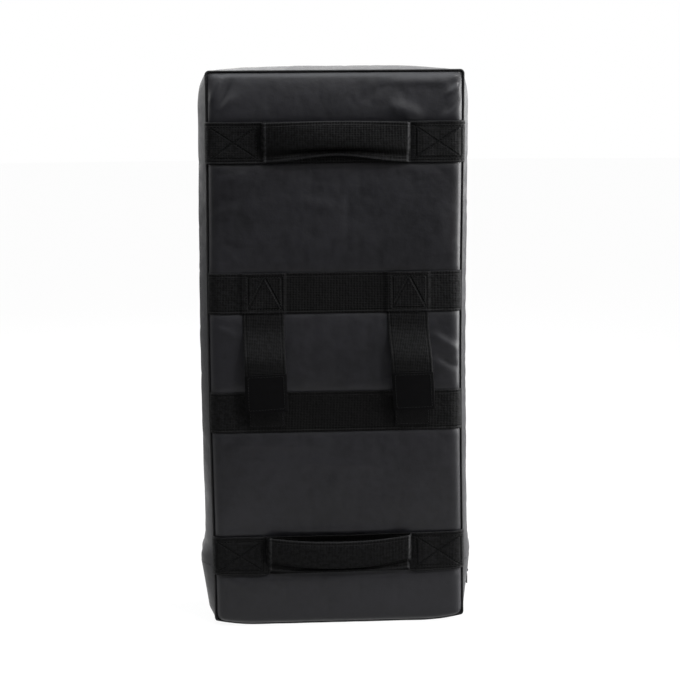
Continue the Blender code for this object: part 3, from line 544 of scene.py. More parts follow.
sewnBoxes = {"upper": {}, "lower": {}, "roots": {}}
for word, side in sides.items():
    for which in ("upper", "lower"):
        low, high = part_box(f"{which}_handle_end_{word}")
        outer = low.x + sewing["handleIn"] if side < 0 else high.x - sewing["handleIn"]
        ends = sorted((outer, side * sewing["handleFrom"]))
        sewnBoxes[which][word] = sewnBox(*ends, which + "_handle_band", sewing["handleHalfTall"], False)
    low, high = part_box("arm_strap_root_" + word)
    sewnBoxes["roots"][word] = sewnBox(low.x + sewing["rootIn"], high.x - sewing["rootIn"], "upper_arm_band",
                                       sewing["rootHalfTall"], True)

# Carry handles: sewn end, riser and grip in one width of webbing. crease is where across the width
# the cloth turns under, and tuck how many degrees it leans, in the middle and at the ends of a grip.
handles = {
    "upper": {"band": "upper_handle_band", "lift": -0.0012, "bow": 0.0018, "ends": 0.34,
              "creaseMiddle": 0.80, "creaseEnd": 0.82, "tuckMiddle": -3.0, "tuckEnd": -13.0},
    "lower": {"band": "lower_handle_band", "lift": 0.0024, "bow": -0.0058, "ends": 0.55,
              "creaseMiddle": 0.90, "creaseEnd": 0.80, "tuckMiddle": -13.0, "tuckEnd": -16.0},
}
grip = {
    "rows": 120, "sideRows": 34, "endRows": 36, "columns": 51,
    "foot": 0.0928, "top": 0.0870,        # where the riser leaves the band and where it meets the grip
    "sink": 0.0035,                       # the grip's ends stand this much lower than its middle
    # lean of the cloth in degrees, at shares of its width from the top edge, then from the crease
    "face": {0: 45.0, 0.05: 22.0, 0.12: 9.0, 0.34: 2.0},
    "fold": {-0.22: -10.0, -0.16: -42.0, -0.11: -76.0, 0.0: -78.0, 0.035: 40.0},
    "lip": 62.0,
    "hump": 0.0012, "humpRise": 0.008, "humpFrom": 0.034, "humpFall": 0.020,
    "stillTo": 0.0062, "tiltsFrom": 0.0165,       # two distances off the pad, kept in a bend record that nothing carries out
    "stitchSink": 0.0002,
    "coreAt": 0.35, "coreGap": 0.0007, "coreHalfHeight": 0.0105, "coreHalfDepth": 0.0036,
    "coreRings": 60, "coreCorners": 28,
}

looks = {
    "leather": {"dark": (0.0031, 0.0031, 0.0039), "light": (0.0071, 0.0070, 0.0087), "ior": 1.24,
                "roughness": 0.54, "grain": 950.0, "depth": 0.45, "creasing": 0.45, "coat": 0.15},
    "piping": {"dark": (0.0006, 0.0006, 0.0007), "light": (0.0014, 0.0014, 0.0016), "ior": 1.28,
               "roughness": 0.55, "grain": 1300.0, "depth": 0.4, "creasing": 0.2},
    "tab": {"dark": (0.0008, 0.0008, 0.0009), "light": (0.0020, 0.0020, 0.0022), "ior": 1.11,
            "roughness": 0.66, "grain": 1500.0, "depth": 0.35, "creasing": 0.15},
    # bead is how much lighter the edge bead is coloured, a painted highlight; the last colour is the painted
    # highlight on the turn of riser into grip
    "webbing": {"dark": (0.0008, 0.0008, 0.0008), "light": (0.0078, 0.0078, 0.0081), "ior": 1.12,
                "roughness": 0.60, "rib": 0.0019, "yarn": 0.0021, "relief": 0.0009, "patches": 210.0,
                "width": 0.050, "bead": 0.9, "riserHighlight": (0.048, 0.048, 0.049)},
    # Painted shade: a darker copy of the webbing for the straps, which lean up into the light
    "shadedStrapWebbing": {"dark": (0.0004, 0.0004, 0.0004), "light": (0.0037, 0.0037, 0.0039), "ior": 1.12,
                     "roughness": 0.60, "rib": 0.0018, "yarn": 0.0021, "relief": 0.0008, "patches": 210.0,
                     "width": 0.050, "bead": 0.4},
    "tape": {"dark": (0.0008, 0.0008, 0.0009), "light": (0.0040, 0.0040, 0.0044), "ior": 1.32,
             "roughness": 0.7, "rib": 0.0009, "yarn": 0.0007, "relief": 0.0002, "patches": 400.0,
             "width": 0.0107, "bead": 0.2},
    "thread": {"dark": (0.0012, 0.0012, 0.0013), "light": (0.0048, 0.0048, 0.0050), "ior": 1.16},
    # Painted shade: a darker copy of the thread, for the loop patches that lie in the straps' shadow
    "shadowedThread": {"dark": (0.0004, 0.0004, 0.0004), "light": (0.0012, 0.0012, 0.0013), "ior": 1.17},
    "loops": {"dark": (0.0004, 0.0004, 0.0004), "light": (0.0018, 0.0018, 0.0020), "ior": 1.17,
              "scale": 1500.0, "relief": 0.0006},
    "foam": {"dark": (0.002, 0.002, 0.002), "light": (0.006, 0.006, 0.007), "ior": 1.30,
             "scale": 900.0, "relief": 0.0003},
    "nylon": {"dark": (0.003, 0.003, 0.0033), "light": (0.008, 0.008, 0.009), "roughness": 0.36},
    "metal": {"dark": (0.010, 0.010, 0.011), "light": (0.050, 0.050, 0.054), "roughness": 0.32},
}
leather = leatherFinish("leather", looks["leather"])
pipingLeather = leatherFinish("pipingLeather", looks["piping"])
tabLeather = leatherFinish("tabLeather", looks["tab"])
bandWebbing = {}
for node, band in bands.items():
    boxes = sewnBoxes["roots"].values() if node == "upper_arm_band" else ()
    bandWebbing[node] = webbingFinish(band["piece"] + "Webbing", looks["webbing"], boxes, middleShade=band["middleShade"])
gripWebbing = {which: webbingFinish(which + "GripWebbing", looks["webbing"], fold=look, riserGlint=True)
               for which, look in handles.items()}
sewnWebbing = {which: webbingFinish(which + "SewnWebbing", looks["webbing"], sewnBoxes[which].values(),
                                    riserGlint=True) for which in handles}
shadedStrapWebbing = webbingFinish("shadedStrapWebbing", looks["shadedStrapWebbing"])
tapeCloth = webbingFinish("tapeCloth", looks["tape"])
thread = threadFinish("thread", looks["thread"])
shadowedThread = threadFinish("shadowedThread", looks["shadowedThread"])
loopPile = fuzzFinish("loopPile", looks["loops"])
coreFoam = fuzzFinish("coreFoam", looks["foam"])
nylon = hardFinish("nylon", looks["nylon"])
paintedZinc = hardFinish("paintedZinc", looks["metal"], 0.8)
print("materials made")


# The pad's shape

def rimStops(length, roll, steps, pitch, extra=()):
    # Places from 0 to length: close together over the roll at each end, even between
    over = roll * (1 - np.cos(np.linspace(0, np.pi / 2, steps + 1)))
    inner = np.linspace(roll, length - roll, int(round((length - 2 * roll) / pitch)) + 1)[1:-1]
    stops = np.concatenate([over, inner, length - over[::-1], np.asarray(extra, float)])
    return np.unique(np.round(stops, 7))


def padMap(across, up, inset):
    # From shares of the width and height to the rounded outline at an inset, with its outward way
    run, rise = halfWidth - inset, padHeight / 2 - inset
    radius = max(pad["cornerRadius"] - inset, 0.0012)
    x, z = (2 * across - 1) * run, (2 * up - 1) * rise
    s = np.clip((np.abs(x) - run + radius) / radius, 0, 1)
    t = np.clip((np.abs(z) - rise + radius) / radius, 0, 1)
    corner = (s > 0) & (t > 0)
    newX = np.sign(x) * (run - radius + radius * s * np.sqrt(1 - t * t / 2))
    newZ = np.sign(z) * (rise - radius + radius * t * np.sqrt(1 - s * s / 2))
    x, z = np.where(corner, newX, x), np.where(corner, newZ, z)
    wayX = np.sign(x) * np.maximum(np.abs(x) - run + radius, 0)
    wayZ = np.sign(z) * np.maximum(np.abs(z) - rise + radius, 0)
    size = np.maximum(np.hypot(wayX, wayZ), 1e-9)
    return x, z + padHeight / 2, wayX / size, wayZ / size


def settle(points):
    # Lifts the bottom corners, puts the drawing at its depth, and sways it a little to the left
    points = np.array(points, float)
    low, span = pad["baseFlat"], halfWidth - pad["baseFlat"]
    out = np.clip(np.abs(points[..., 0]) - low, 0, span) / span
    points[..., 2] += pad["cornerLift"] * out ** 2 * np.clip(1 - points[..., 2] / pad["liftHeight"], 0, 1)
    points[..., 0] -= pad["sway"] * np.sin(np.pi * np.clip(points[..., 2] / padHeight, 0, 1)) ** 2
    points[..., 1] += midY
    return points


def sideSwell(z):
    # A straight ramp beside the zip, then an even bulge that fades under the top
    end = pad["zipHeight"]
    ramp = pad["zipBaseSwell"] + (pad["zipEndSwell"] - pad["zipBaseSwell"]) * z / end
    extra = (pad["zipEndSwell"] - pad["sideSwell"]) * np.exp(-((z - end) / pad["zipEase"]) ** 2)
    nearTop = np.clip((z - padHeight + pad["swellFall"]) / pad["swellFall"], 0, 1)
    return np.where(z <= end, ramp, (pad["sideSwell"] + extra) * (1 - nearTop ** 3))


def rollShare(across, up):
    # How far each point of a panel is over its rolled edge: 0 at the rim, 1 on the flat
    run, rise = halfWidth - pad["seamInset"], padHeight / 2 - pad["seamInset"]
    sideIn = np.clip(1 - (run - np.abs(2 * across - 1) * run) / pad["rollWidth"], 0, 1)
    endIn = np.clip(1 - (rise - np.abs(2 * up - 1) * rise) / pad["rollWidth"], 0, 1)
    power = pad["cornerPower"]
    return 1 - np.clip((sideIn ** power + endIn ** power) ** (1 / power), 0, 1)


def panelPoints(across, up, side):
    # A flat face with a quarter-ellipse roll to its rim; side is -1 for the strap side
    a, u = np.meshgrid(across, up)
    x, z, _, _ = padMap(a, u, pad["seamInset"])
    over = rollShare(a, u)
    fall = pad["topFall"] * np.clip(1 - (padHeight - z) / pad["topFallHeight"], 0, 1) ** 2 * (side < 0)
    y = side * (halfDepth + (crown - fall) * np.sqrt(np.clip(1 - (1 - over) ** 2, 0, 1)))
    return settle(np.stack([x, y, z], axis=-1))


def rimShares(across, up):
    # Shares of width and height round the rim, anticlockwise from the lower left corner
    wide, tall = len(across) - 1, len(up) - 1
    return (np.concatenate([across[:-1], np.ones(tall), across[:0:-1], np.zeros(tall)]),
            np.concatenate([np.zeros(wide), up[:-1], np.ones(wide), up[:0:-1]]))


def gussetPoints(across, up, depths, inset=0.0):
    # The side wall: the outline pushed out by the bulge, most at mid-depth, and by a puff between the
    # zip and each seam. inset may be an array.
    x, z, wayX, wayZ = padMap(*rimShares(across, up), 0.0)
    top = pad["topSwell"] * np.clip(1 - (x / halfWidth) ** 4, 0, 1) * (wayZ > 0)
    swell = sideSwell(z) * wayX ** 2 + top * wayZ ** 2
    depths = np.asarray(depths, float)[:, None]
    out = swell[None] * np.clip(1 - np.abs(depths / halfDepth) ** pad["bulgePower"], 0, 1) - inset
    beside = np.clip((np.abs(depths) - pad["zipSlot"]) / (halfDepth - pad["zipSlot"]), 0, 1)
    for word, puff in pad["puffs"].items():
        low = smooth((puff["top"] - z) / pad["puffTopEase"]) * smooth(z / pad["puffFootEase"])
        low = low * np.abs(wayX) * (sides[word] * x > 0)
        out = out + puff["height"] * np.sin(np.pi * beside) * low
    points = np.stack([x + wayX * out, depths + 0 * x, z + wayZ * out], axis=-1)
    return settle(points)


def shell(across, up, depths, sink=0.0):
    return {"back": panelPoints(across, up, -1), "strike": panelPoints(across, up, 1),
            "gusset": gussetPoints(across, up, depths, sink)}


def shellFaces(columns, rows, depths):
    # Faces of the closed body: both panels, the side wall, and a narrow seam strip between them
    grid = np.arange(rows * columns).reshape(rows, columns)
    quads = np.stack([grid[:-1, :-1], grid[:-1, 1:], grid[1:, 1:], grid[1:, :-1]], -1).reshape(-1, 4)
    rim = np.concatenate([grid[0, :-1], grid[:-1, -1], grid[-1, :0:-1], grid[:0:-1, 0]])
    count = rows * columns
    wall = 2 * count + np.arange(depths * len(rim)).reshape(depths, len(rim))
    onward = np.roll(wall, -1, axis=1)
    around = np.stack([wall[:-1], wall[1:], onward[1:], onward[:-1]], -1).reshape(-1, 4)
    nextRim = np.roll(rim, -1)
    front = np.stack([rim, wall[0], onward[0], nextRim], -1)
    rear = np.stack([wall[-1], rim + count, nextRim + count, onward[-1]], -1)
    return np.concatenate([quads, quads[:, ::-1] + count, around, front, rear]), rim


# Padding: a coarse copy of the cover is blown up as cloth, and its movement is kept

cloth = {
    "columns": 65, "rows": 141, "depths": 23, "frames": 20, "depthShare": 0.99,
    "pressure": 4.0, "slack": -0.010, "tension": 18.0, "bending": 0.6, "mass": 0.2, "quality": 6,
    "zipHold": 0.006, "bandHold": 0.9, "bandEase": 0.004,      # held over the zip's end and under the bands
    "broadCells": 4.0, "edgeCells": 5.0,
    # shares of the broad swelling and of the fine folds that are kept, and the most of each
    "back": {"puff": 0.18, "most": 0.0022, "fold": 0.16, "foldMost": 0.0008},
    "strike": {"puff": 0.30, "most": 0.0030, "fold": 0.40, "foldMost": 0.0015},
    "gusset": {"puff": 0.0, "most": 0.0016, "fold": 0.30, "foldMost": 0.0012},
}


def simulatePadding():
    # The coarse cover, held at its seams, its zip and its bands, is blown up for some frames
    across, up = np.linspace(0, 1, cloth["columns"]), np.linspace(0, 1, cloth["rows"])
    depths = np.linspace(-halfDepth, halfDepth, cloth["depths"]) * cloth["depthShare"]
    base = shell(across, up, depths)
    faces, rim = shellFaces(cloth["columns"], cloth["rows"], cloth["depths"])
    start = np.concatenate([part.reshape(-1, 3) for part in base.values()])
    body = makeMesh("paddingTrial", start, faces)
    hold = np.zeros(len(start))
    count = cloth["columns"] * cloth["rows"]
    hold[rim] = hold[rim + count] = 1.0
    wall = hold[2 * count:].reshape(cloth["depths"], -1)
    wall[0] = wall[-1] = 1.0
    low = base["gusset"][..., 2] < pad["zipHeight"] + cloth["zipHold"]
    wall[low] = 1.0
    z = base["back"][..., 2]
    sewn = np.zeros(z.shape)
    for band in bands.values():
        away = (np.abs(z - band["middle"]) - band["width"] / 2) / cloth["bandEase"]
        sewn = np.maximum(sewn, cloth["bandHold"] * (1 - smooth(away)))
    hold[:count] = np.maximum(hold[:count], sewn.ravel())
    group = body.vertex_groups.new(name="held")
    for index in np.flatnonzero(hold > 0.01):
        group.add([int(index)], float(hold[index]), "REPLACE")
    modifier = body.modifiers.new("cloth", "CLOTH")
    settings = modifier.settings
    settings.quality = cloth["quality"]
    settings.mass = cloth["mass"]
    settings.tension_stiffness = settings.compression_stiffness = cloth["tension"]
    settings.bending_stiffness = cloth["bending"]
    settings.vertex_group_mass = "held"
    settings.shrink_min = cloth["slack"]
    settings.use_pressure = True
    settings.uniform_pressure_force = cloth["pressure"]
    settings.effector_weights.gravity = 0.0
    modifier.point_cache.frame_end = cloth["frames"]
    for number in range(1, cloth["frames"] + 1):
        scene.frame_set(number)
    result = body.evaluated_get(bpy.context.evaluated_depsgraph_get())
    flat = np.empty(len(start) * 3, np.float32)
    result.data.vertices.foreach_get("co", flat)
    moved = flat.reshape(-1, 3).astype(float) - start
    scene.frame_set(1)
    bpy.data.objects.remove(body, do_unlink=True)
    print("padding moved: most %.1f mm, typical %.1f mm" % (
        1000 * np.abs(moved).max(), 1000 * np.sqrt((moved ** 2).sum(1)).mean()))
    parts, taken = {}, 0
    for key, part in base.items():
        parts[key] = moved[taken:taken + part.size // 3].reshape(part.shape)
        taken += part.size // 3
    return parts


def tame(moved, keep, closedColumns=False):
    # Keeps a share of the broad swelling and of the small folds, each within its limit
    broad = blur(blur(moved, cloth["broadCells"], 0), cloth["broadCells"], 1, closedColumns)
    fine = moved - broad
    rows, columns = moved.shape[:2]
    edge = np.minimum(np.arange(rows), np.arange(rows)[::-1])[:, None] / cloth["edgeCells"]
    if not closedColumns:
        side = np.minimum(np.arange(columns), np.arange(columns)[::-1])[None] / cloth["edgeCells"]
        edge = np.minimum(edge, side)
    edge = smooth(edge + np.zeros((rows, columns)))[..., None]

    def limit(field, most):
        size = np.linalg.norm(field, axis=-1, keepdims=True)
        return field * most * np.tanh(size / most) / np.maximum(size, 1e-9)
    return edge * (limit(broad * keep["puff"], keep["most"]) + limit(fine * keep["fold"], keep["foldMost"]))


print("padding: simulating")
moved = simulatePadding()
moved = {key: tame(value, cloth[key], key == "gusset") for key, value in moved.items()}
print("padding done")

# Creases pressed into the strap-side panel: x, z of one end, x, z of the other, half-width, height
creases = [
    (-0.152, 0.636, -0.126, 0.690, 0.0042, -0.0020),
    (-0.156, 0.655, -0.138, 0.697, 0.0036, 0.0016),
    (-0.150, 0.648, -0.118, 0.672, 0.0050, 0.0012),
    (0.062, 0.658, 0.110, 0.641, 0.0095, 0.0026),
    (0.050, 0.686, 0.156, 0.685, 0.0060, 0.0012),
    (-0.154, 0.522, -0.118, 0.535, 0.0050, 0.0010),
    (-0.050, 0.542, 0.010, 0.530, 0.0070, 0.0006),
    (-0.150, 0.238, -0.030, 0.232, 0.0050, 0.0006),
    (-0.060, 0.212, 0.060, 0.205, 0.0060, 0.0005),
    (-0.152, 0.130, -0.100, 0.128, 0.0045, -0.0009),
    (0.020, 0.655, 0.075, 0.690, 0.0060, -0.0006),
    (0.132, 0.646, 0.157, 0.668, 0.0034, -0.0018),
    (0.134, 0.668, 0.158, 0.682, 0.0030, 0.0016),
    (0.138, 0.680, 0.157, 0.690, 0.0026, -0.0014),
    (0.116, 0.374, 0.154, 0.350, 0.0050, 0.0016),
    (0.122, 0.347, 0.155, 0.328, 0.0046, -0.0014),
    (-0.154, 0.386, -0.126, 0.374, 0.0040, 0.0010),
    (-0.060, 0.330, -0.020, 0.312, 0.0060, 0.0006),
    (-0.150, 0.566, -0.105, 0.575, 0.0060, 0.0007),
    (0.090, 0.160, 0.140, 0.148, 0.0070, 0.0005),
    (-0.086, 0.1085, 0.084, 0.1085, 0.0050, -0.0042),
    (-0.084, 0.1225, 0.082, 0.1225, 0.0050, 0.0012),
    (-0.150, 0.064, -0.122, 0.030, 0.0060, -0.0010),
    (-0.138, 0.062, -0.100, 0.036, 0.0065, 0.0009),
]
pillow = {"height": 0.0015, "reach": 0.0036}      # the leather stands up beside each band
pucker = {"height": 0.00030, "spacing": 0.017, "reach": 0.013, "start": 0.004}
# random unevenness: height, cells along and across, and for a wall how far from a seam it is full
uneven = {"panel": ((0.00035, (24, 11)), (0.00010, (90, 41))),
          "wall": ((0.0005, (5, 60), 0.02), (0.00015, (9, 170), 0.01))}


def creaseField(x, z):
    # Each crease is a ridge of bell section that dies out at both ends
    total = np.zeros(x.shape)
    for x0, z0, x1, z1, width, height in creases:
        length = math.hypot(x1 - x0, z1 - z0)
        wayX, wayZ = (x1 - x0) / length, (z1 - z0) / length
        along = ((x - x0) * wayX + (z - z0) * wayZ) / length
        aside = (z - z0) * wayX - (x - x0) * wayZ
        total += height * np.exp(-(aside / width) ** 2) * np.exp(-((along - 0.5) / 0.42) ** 4)
    return total


def puckerField(distance, station, seed):
    # Short folds square to a seam: random along it, strongest a little way in from it
    count = max(int(np.ptp(station) / pucker["spacing"]), 4)
    values = np.random.default_rng(seed).uniform(-1, 1, (count, 1))
    places = (station - station.min()) / np.ptp(station) * (count - 1)
    waves = (cubicWeights(places.ravel(), count) @ values).reshape(station.shape)
    rise = smooth(distance / pucker["start"]) * np.exp(-np.maximum(distance, 0) / pucker["reach"])
    return pucker["height"] * waves * rise


def dressPanel(base, change, side):
    # Adds the simulated movement, puckers at the four seams and unevenness, and on the strap side
    # creases and a rise beside the bands
    rowPlaces = up * (cloth["rows"] - 1)
    columnPlaces = across * (cloth["columns"] - 1)
    points = base + spread(change, rowPlaces, columnPlaces)
    x, z = base[..., 0], base[..., 2]
    seeds = 10 if side < 0 else 20
    run = halfWidth - pad["seamInset"]
    relief = puckerField(run - x, z, seeds) + puckerField(run + x, z, seeds + 1)
    relief += puckerField(padHeight - z, x, seeds + 2) + puckerField(z, x, seeds + 3)
    over = rollShare(*np.meshgrid(across, up))
    for number, (height, cells) in enumerate(uneven["panel"]):
        relief += height * softNoise(up, across, cells, seeds + 4 + number) * smooth(over * 3)
    if side < 0:
        beside = [np.maximum(np.abs(z - band["middle"]) - band["width"] / 2, 0) for band in bands.values()]
        relief += pillow["height"] * (1 - np.exp(-np.min(beside, axis=0) / pillow["reach"]))
        relief += creaseField(x, z)
    relief *= smooth(over * 2.2)
    normal = gridNormals(base)
    return points + normal * (relief * (1 if side < 0 else -1))[..., None]


def dressGusset(base, change, depths):
    # The same for the side wall, round its closed length
    columns, rows = cloth["columns"] - 1, cloth["rows"] - 1
    places = np.concatenate([across[:-1] * columns, columns + up[:-1] * rows,
                             columns + rows + (1 - across[:0:-1]) * columns,
                             2 * columns + rows + (1 - up[:0:-1]) * rows])
    share = (depths / halfDepth / cloth["depthShare"] + 1) / 2 * (cloth["depths"] - 1)
    points = base + spread(change, np.clip(share, 0, cloth["depths"] - 1), places, False, True)
    still = smooth((base[..., 2] - pad["zipHeight"] - pad["stillOver"]) / pad["stillEase"])
    distance = halfDepth - np.abs(depths)[:, None] + 0 * base[..., 0]
    length = places[None] * 0.005 + 0 * distance           # a cell is about 5 mm long
    relief = np.where(depths[:, None] < 0, puckerField(distance, length, 31),
                      puckerField(distance, length, 32))
    deep, along = (depths / depthEdge + 1) / 2, places / (2 * (columns + rows))
    for number, (height, cells, full) in enumerate(uneven["wall"]):
        relief += height * softNoise(deep, along, cells, 33 + number, False, True) * smooth(distance / full)
    normal = gridNormals(base, False, True)
    return points + normal * (relief * still)[..., None]


zipEnd = pad["zipHeight"] / padHeight
panelWide, panelTall = 2 * (halfWidth - pad["seamInset"]), padHeight - 2 * pad["seamInset"]
across = rimStops(panelWide, pad["rollWidth"], pad["rollSteps"], pad["pitch"]) / panelWide
up = rimStops(panelTall, pad["rollWidth"], pad["rollSteps"], pad["pitch"],
              [zipEnd * panelTall - pad["zipCut"], zipEnd * panelTall + pad["zipCut"]]) / panelTall
depthEdge = halfDepth - pad["wallMargin"]
depths = depthEdge * np.sin(np.linspace(-np.pi / 2, np.pi / 2, pad["gussetRows"])) * 0.5 \
    + depthEdge * np.linspace(-1, 1, pad["gussetRows"]) * 0.5


def makeBody():
    # Up to the zip's ends the wall is sunk, because the zip gussets lie over it
    _, rimUp = rimShares(across, up)
    inner = smooth((depthEdge - np.abs(depths)) / pad["zipSinkEase"])
    sink = pad["zipSink"] * inner[:, None] * (rimUp < zipEnd)[None]
    base = shell(across, up, depths, sink)
    back = dressPanel(base["back"], moved["back"], -1)
    strike = dressPanel(base["strike"], moved["strike"], 1)
    wall = dressGusset(base["gusset"], moved["gusset"], depths)
    faces, _ = shellFaces(len(across), len(up), len(depths))
    points = np.concatenate([back.reshape(-1, 3), strike.reshape(-1, 3), wall.reshape(-1, 3)])
    body = makeMesh("padCover", points, faces, leather, smoothAngle=60)
    place(body, "pad", "leather", "back_panel", "strike_panel", "main_gusset",
          "backing_foam", "core_foam", "strike_foam")
    return back


back = makeBody()
backNormals = gridNormals(back)
print("cover made")


def gridPlaces(x, z):
    # Fractional row and column of the strap-side panel at a place on it
    panelX = (x / (halfWidth - pad["seamInset"]) + 1) / 2
    panelZ = (z - pad["seamInset"]) / (padHeight - 2 * pad["seamInset"])
    return (np.interp(panelZ, up, np.arange(len(up))), np.interp(panelX, across, np.arange(len(across))))


def onPad(x, z, height):
    # Points that stand at a height over the strap-side panel as it really lies
    rowPlaces, columnPlaces = gridPlaces(x, z)
    return sampleGrid(back, rowPlaces, columnPlaces) \
        + sampleGrid(backNormals, rowPlaces, columnPlaces) * np.asarray(height)[..., None]


def overPad(x, z, height):
    # The same over the flat panel of the drawing
    return settle(np.stack(np.broadcast_arrays(x, -halfDepth - crown - height, z), axis=-1))


def mixPoints(first, second, share):
    return first * (1 - share[..., None]) + second * share[..., None]


# Webbing bands

seat = 0.0003
web = {"thickness": 0.0015, "layer": 0.0018, "columns": 13, "stations": 190, "ends": 1.3, "wave": 0.00025,
       "climb": 0.004, "climbEase": 0.0035}


def makeBands():
    # Each band lies on the panel's own grid, one layer higher over the strap roots, and waves a little
    for number, (node, band) in enumerate(bands.items()):
        columnPlaces = np.linspace(web["ends"], len(across) - 1 - web["ends"], web["stations"])
        width = np.linspace(-0.5, 0.5, web["columns"]) * (band["width"] - band["narrower"])
        x = np.interp(columnPlaces, np.arange(len(across)), (2 * across - 1) * (halfWidth - pad["seamInset"]))
        lift = np.full(x.shape, seat + web["thickness"] / 2)
        if node == "upper_arm_band":
            for word in sides:
                low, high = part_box("arm_strap_root_" + word)
                lift += web["layer"] * smooth((x - low.x + web["climb"]) / web["climbEase"]) \
                    * smooth((high.x + web["climb"] - x) / web["climbEase"])
        grow, wide = np.meshgrid(x, band["middle"] + width, indexing="ij")
        wide = wide + bandRise(node, grow)
        rowPlaces, _ = gridPlaces(grow, wide)
        columnPlaces = columnPlaces[:, None] + 0 * wide
        centre = sampleGrid(back, rowPlaces, columnPlaces)
        normal = sampleGrid(backNormals, rowPlaces, columnPlaces)
        shares = np.linspace(0, 1, len(x)), np.linspace(0, 1, web["columns"])
        flat = lift[:, None] + web["wave"] * softNoise(*shares, (34, 3), 50 + number)
        strip = webStrip(band["piece"], centre + normal * flat[..., None], web["thickness"],
                         bandWebbing[node])
        place(strip, "pad", "webbing", node)


makeBands()
print("bands sewn on")


# Stitches

stitch = {"length": 0.0026, "pitch": 0.0034, "radius": 0.00042, "sink": 0.35, "corners": 6, "rings": 5}


def threadShape():
    # A short rounded bar, lying along its first axis
    corners, rings = stitch["corners"], stitch["rings"]
    turn = np.linspace(0, 2 * np.pi, corners, endpoint=False)
    along = np.linspace(-1, 1, rings)
    width = np.sqrt(np.clip(1 - np.abs(along) ** 4, 0.03, 1))
    shape = np.stack([np.broadcast_to(along[:, None] * stitch["length"] / 2, (rings, corners)),
                      width[:, None] * np.cos(turn) * stitch["radius"],
                      width[:, None] * np.sin(turn) * stitch["radius"]], -1).reshape(-1, 3)
    return shape, ringFaces(rings, corners, capped=True)


def stitchesAlong(name, runs, surface, finish=thread):
    # runs are lists of flat corners; surface turns flat points into places and normals
    places, ways, normals = [], [], []
    for run in runs:
        run = np.array(run, float)
        for start, end in zip(run[:-1], run[1:]):
            count = max(int(np.linalg.norm(end - start) / stitch["pitch"]), 1)
            t = (np.arange(count) + 0.5) / count
            reach = stitch["length"] / 2 / np.linalg.norm(end - start)
            at = start + (end - start) * t[:, None]
            point, normal = surface(at[:, 0], at[:, 1])
            before, _ = surface(*(at - (end - start) * reach).T)
            after, _ = surface(*(at + (end - start) * reach).T)
            places.append(point)
            ways.append(unit(after - before))
            normals.append(normal)
    places, ways, normals = np.concatenate(places), np.concatenate(ways), np.concatenate(normals)
    aside = unit(np.cross(normals, ways))
    shape, faces = threadShape()
    raised = places + normals * stitch["radius"] * stitch["sink"]
    points = raised[:, None] + ways[:, None] * shape[None, :, :1] \
        + aside[:, None] * shape[None, :, 1:2] + normals[:, None] * shape[None, :, 2:]
    count = len(shape)
    everyFace = [[v + k * count for v in face] for k in range(len(places)) for face in faces]
    return makeMesh(name, points, everyFace, finish)


def boxRun(x0, x1, z0, z1):
    return [(x0, z0), (x1, z0), (x1, z1), (x0, z1), (x0, z0)]


def boxRuns(box):
    # A sewn box's outline and what is sewn inside it: a triangle with its peak at the top, or a cross
    x0, x1 = box["x"] - box["halfWide"], box["x"] + box["halfWide"]
    z0, z1 = box["z"] - box["halfTall"], box["z"] + box["halfTall"]
    if box["peak"]:
        return [boxRun(x0, x1, z0, z1), [(x0, z0), (box["x"], z1), (x1, z0)]]
    return [boxRun(x0, x1, z0, z1), [(x0, z0), (x1, z1)], [(x0, z1), (x1, z0)]]


def padSurface(height, more=np.zeros_like):
    # For stitches: places at a height over the strap-side panel, and their normals
    def read(x, z):
        rowPlaces, columnPlaces = gridPlaces(x, z)
        return onPad(x, z, height + more(x)), unit(sampleGrid(backNormals, rowPlaces, columnPlaces))
    return read


# Carry handles

def sewnHump(x):
    # The sewn end stands up a little beside the riser's foot
    away = np.abs(x) - grip["foot"]
    fall = smooth((grip["humpFrom"] - away) / grip["humpFall"])
    return grip["hump"] * smooth(away / grip["humpRise"]) * fall


def handlePoints(x, look, middle, width, height):
    # One surface from foot to foot. Across it the cloth leans out from its top edge, stands upright in
    # front, turns under to a crease and hangs to a lip; the curl fades out down both risers.
    foot, top = grip["foot"], grip["top"]
    rise = np.clip((foot - np.abs(x)) / (foot - top), 0, 1)
    inner = np.clip(np.abs(x) / top, 0, 1)
    share = (look["ends"] + (1 - look["ends"]) * np.cos(np.pi / 2 * inner) ** 1.3) * smooth(rise)
    crease = look["creaseMiddle"] + (look["creaseEnd"] - look["creaseMiddle"]) * inner ** 2
    w = np.linspace(0, 1, grip["columns"])
    knots = np.array(list(grip["face"]) + list(grip["fold"]) + [1.0])
    knots = knots + np.outer(crease, [0] * len(grip["face"]) + [1] * len(grip["fold"]) + [0])
    leans = list(grip["face"].values()) + list(grip["fold"].values()) + [grip["lip"]]
    lean = np.stack([np.interp(w, row, leans) for row in knots])
    tuck = (look["tuckMiddle"] + (look["tuckEnd"] - look["tuckMiddle"]) * inner ** 2) * smooth(rise)
    lean = np.radians(blur(lean, 1.0, 1) * share[:, None] + tuck[:, None])
    lean = (lean[:, 1:] + lean[:, :-1]) / 2
    middle = middle + bandRise(look["band"], x) * (1 - smooth(rise))
    start = np.zeros((len(x), 1))
    step = width / (grip["columns"] - 1)
    drop = np.concatenate([start, np.cumsum(np.cos(lean), 1) * step], 1)
    out = np.concatenate([start, np.cumsum(np.sin(lean), 1) * step], 1)
    out = out - out.max(axis=1, keepdims=True)
    edge = (look["lift"] + look["bow"] * (1 - inner ** 2)) * smooth(rise)
    flat = seat + 1.5 * web["layer"] + sewnHump(x)
    tall = flat + (height - grip["sink"] * inner ** 2 - flat) * smooth(rise)
    z = middle[:, None] + width / 2 + edge[:, None] - drop
    x = x[:, None] + 0 * z
    tall = tall[:, None] + out
    return mixPoints(onPad(x, z, tall), overPad(x, z, tall), smooth(rise)[:, None] + 0 * z)


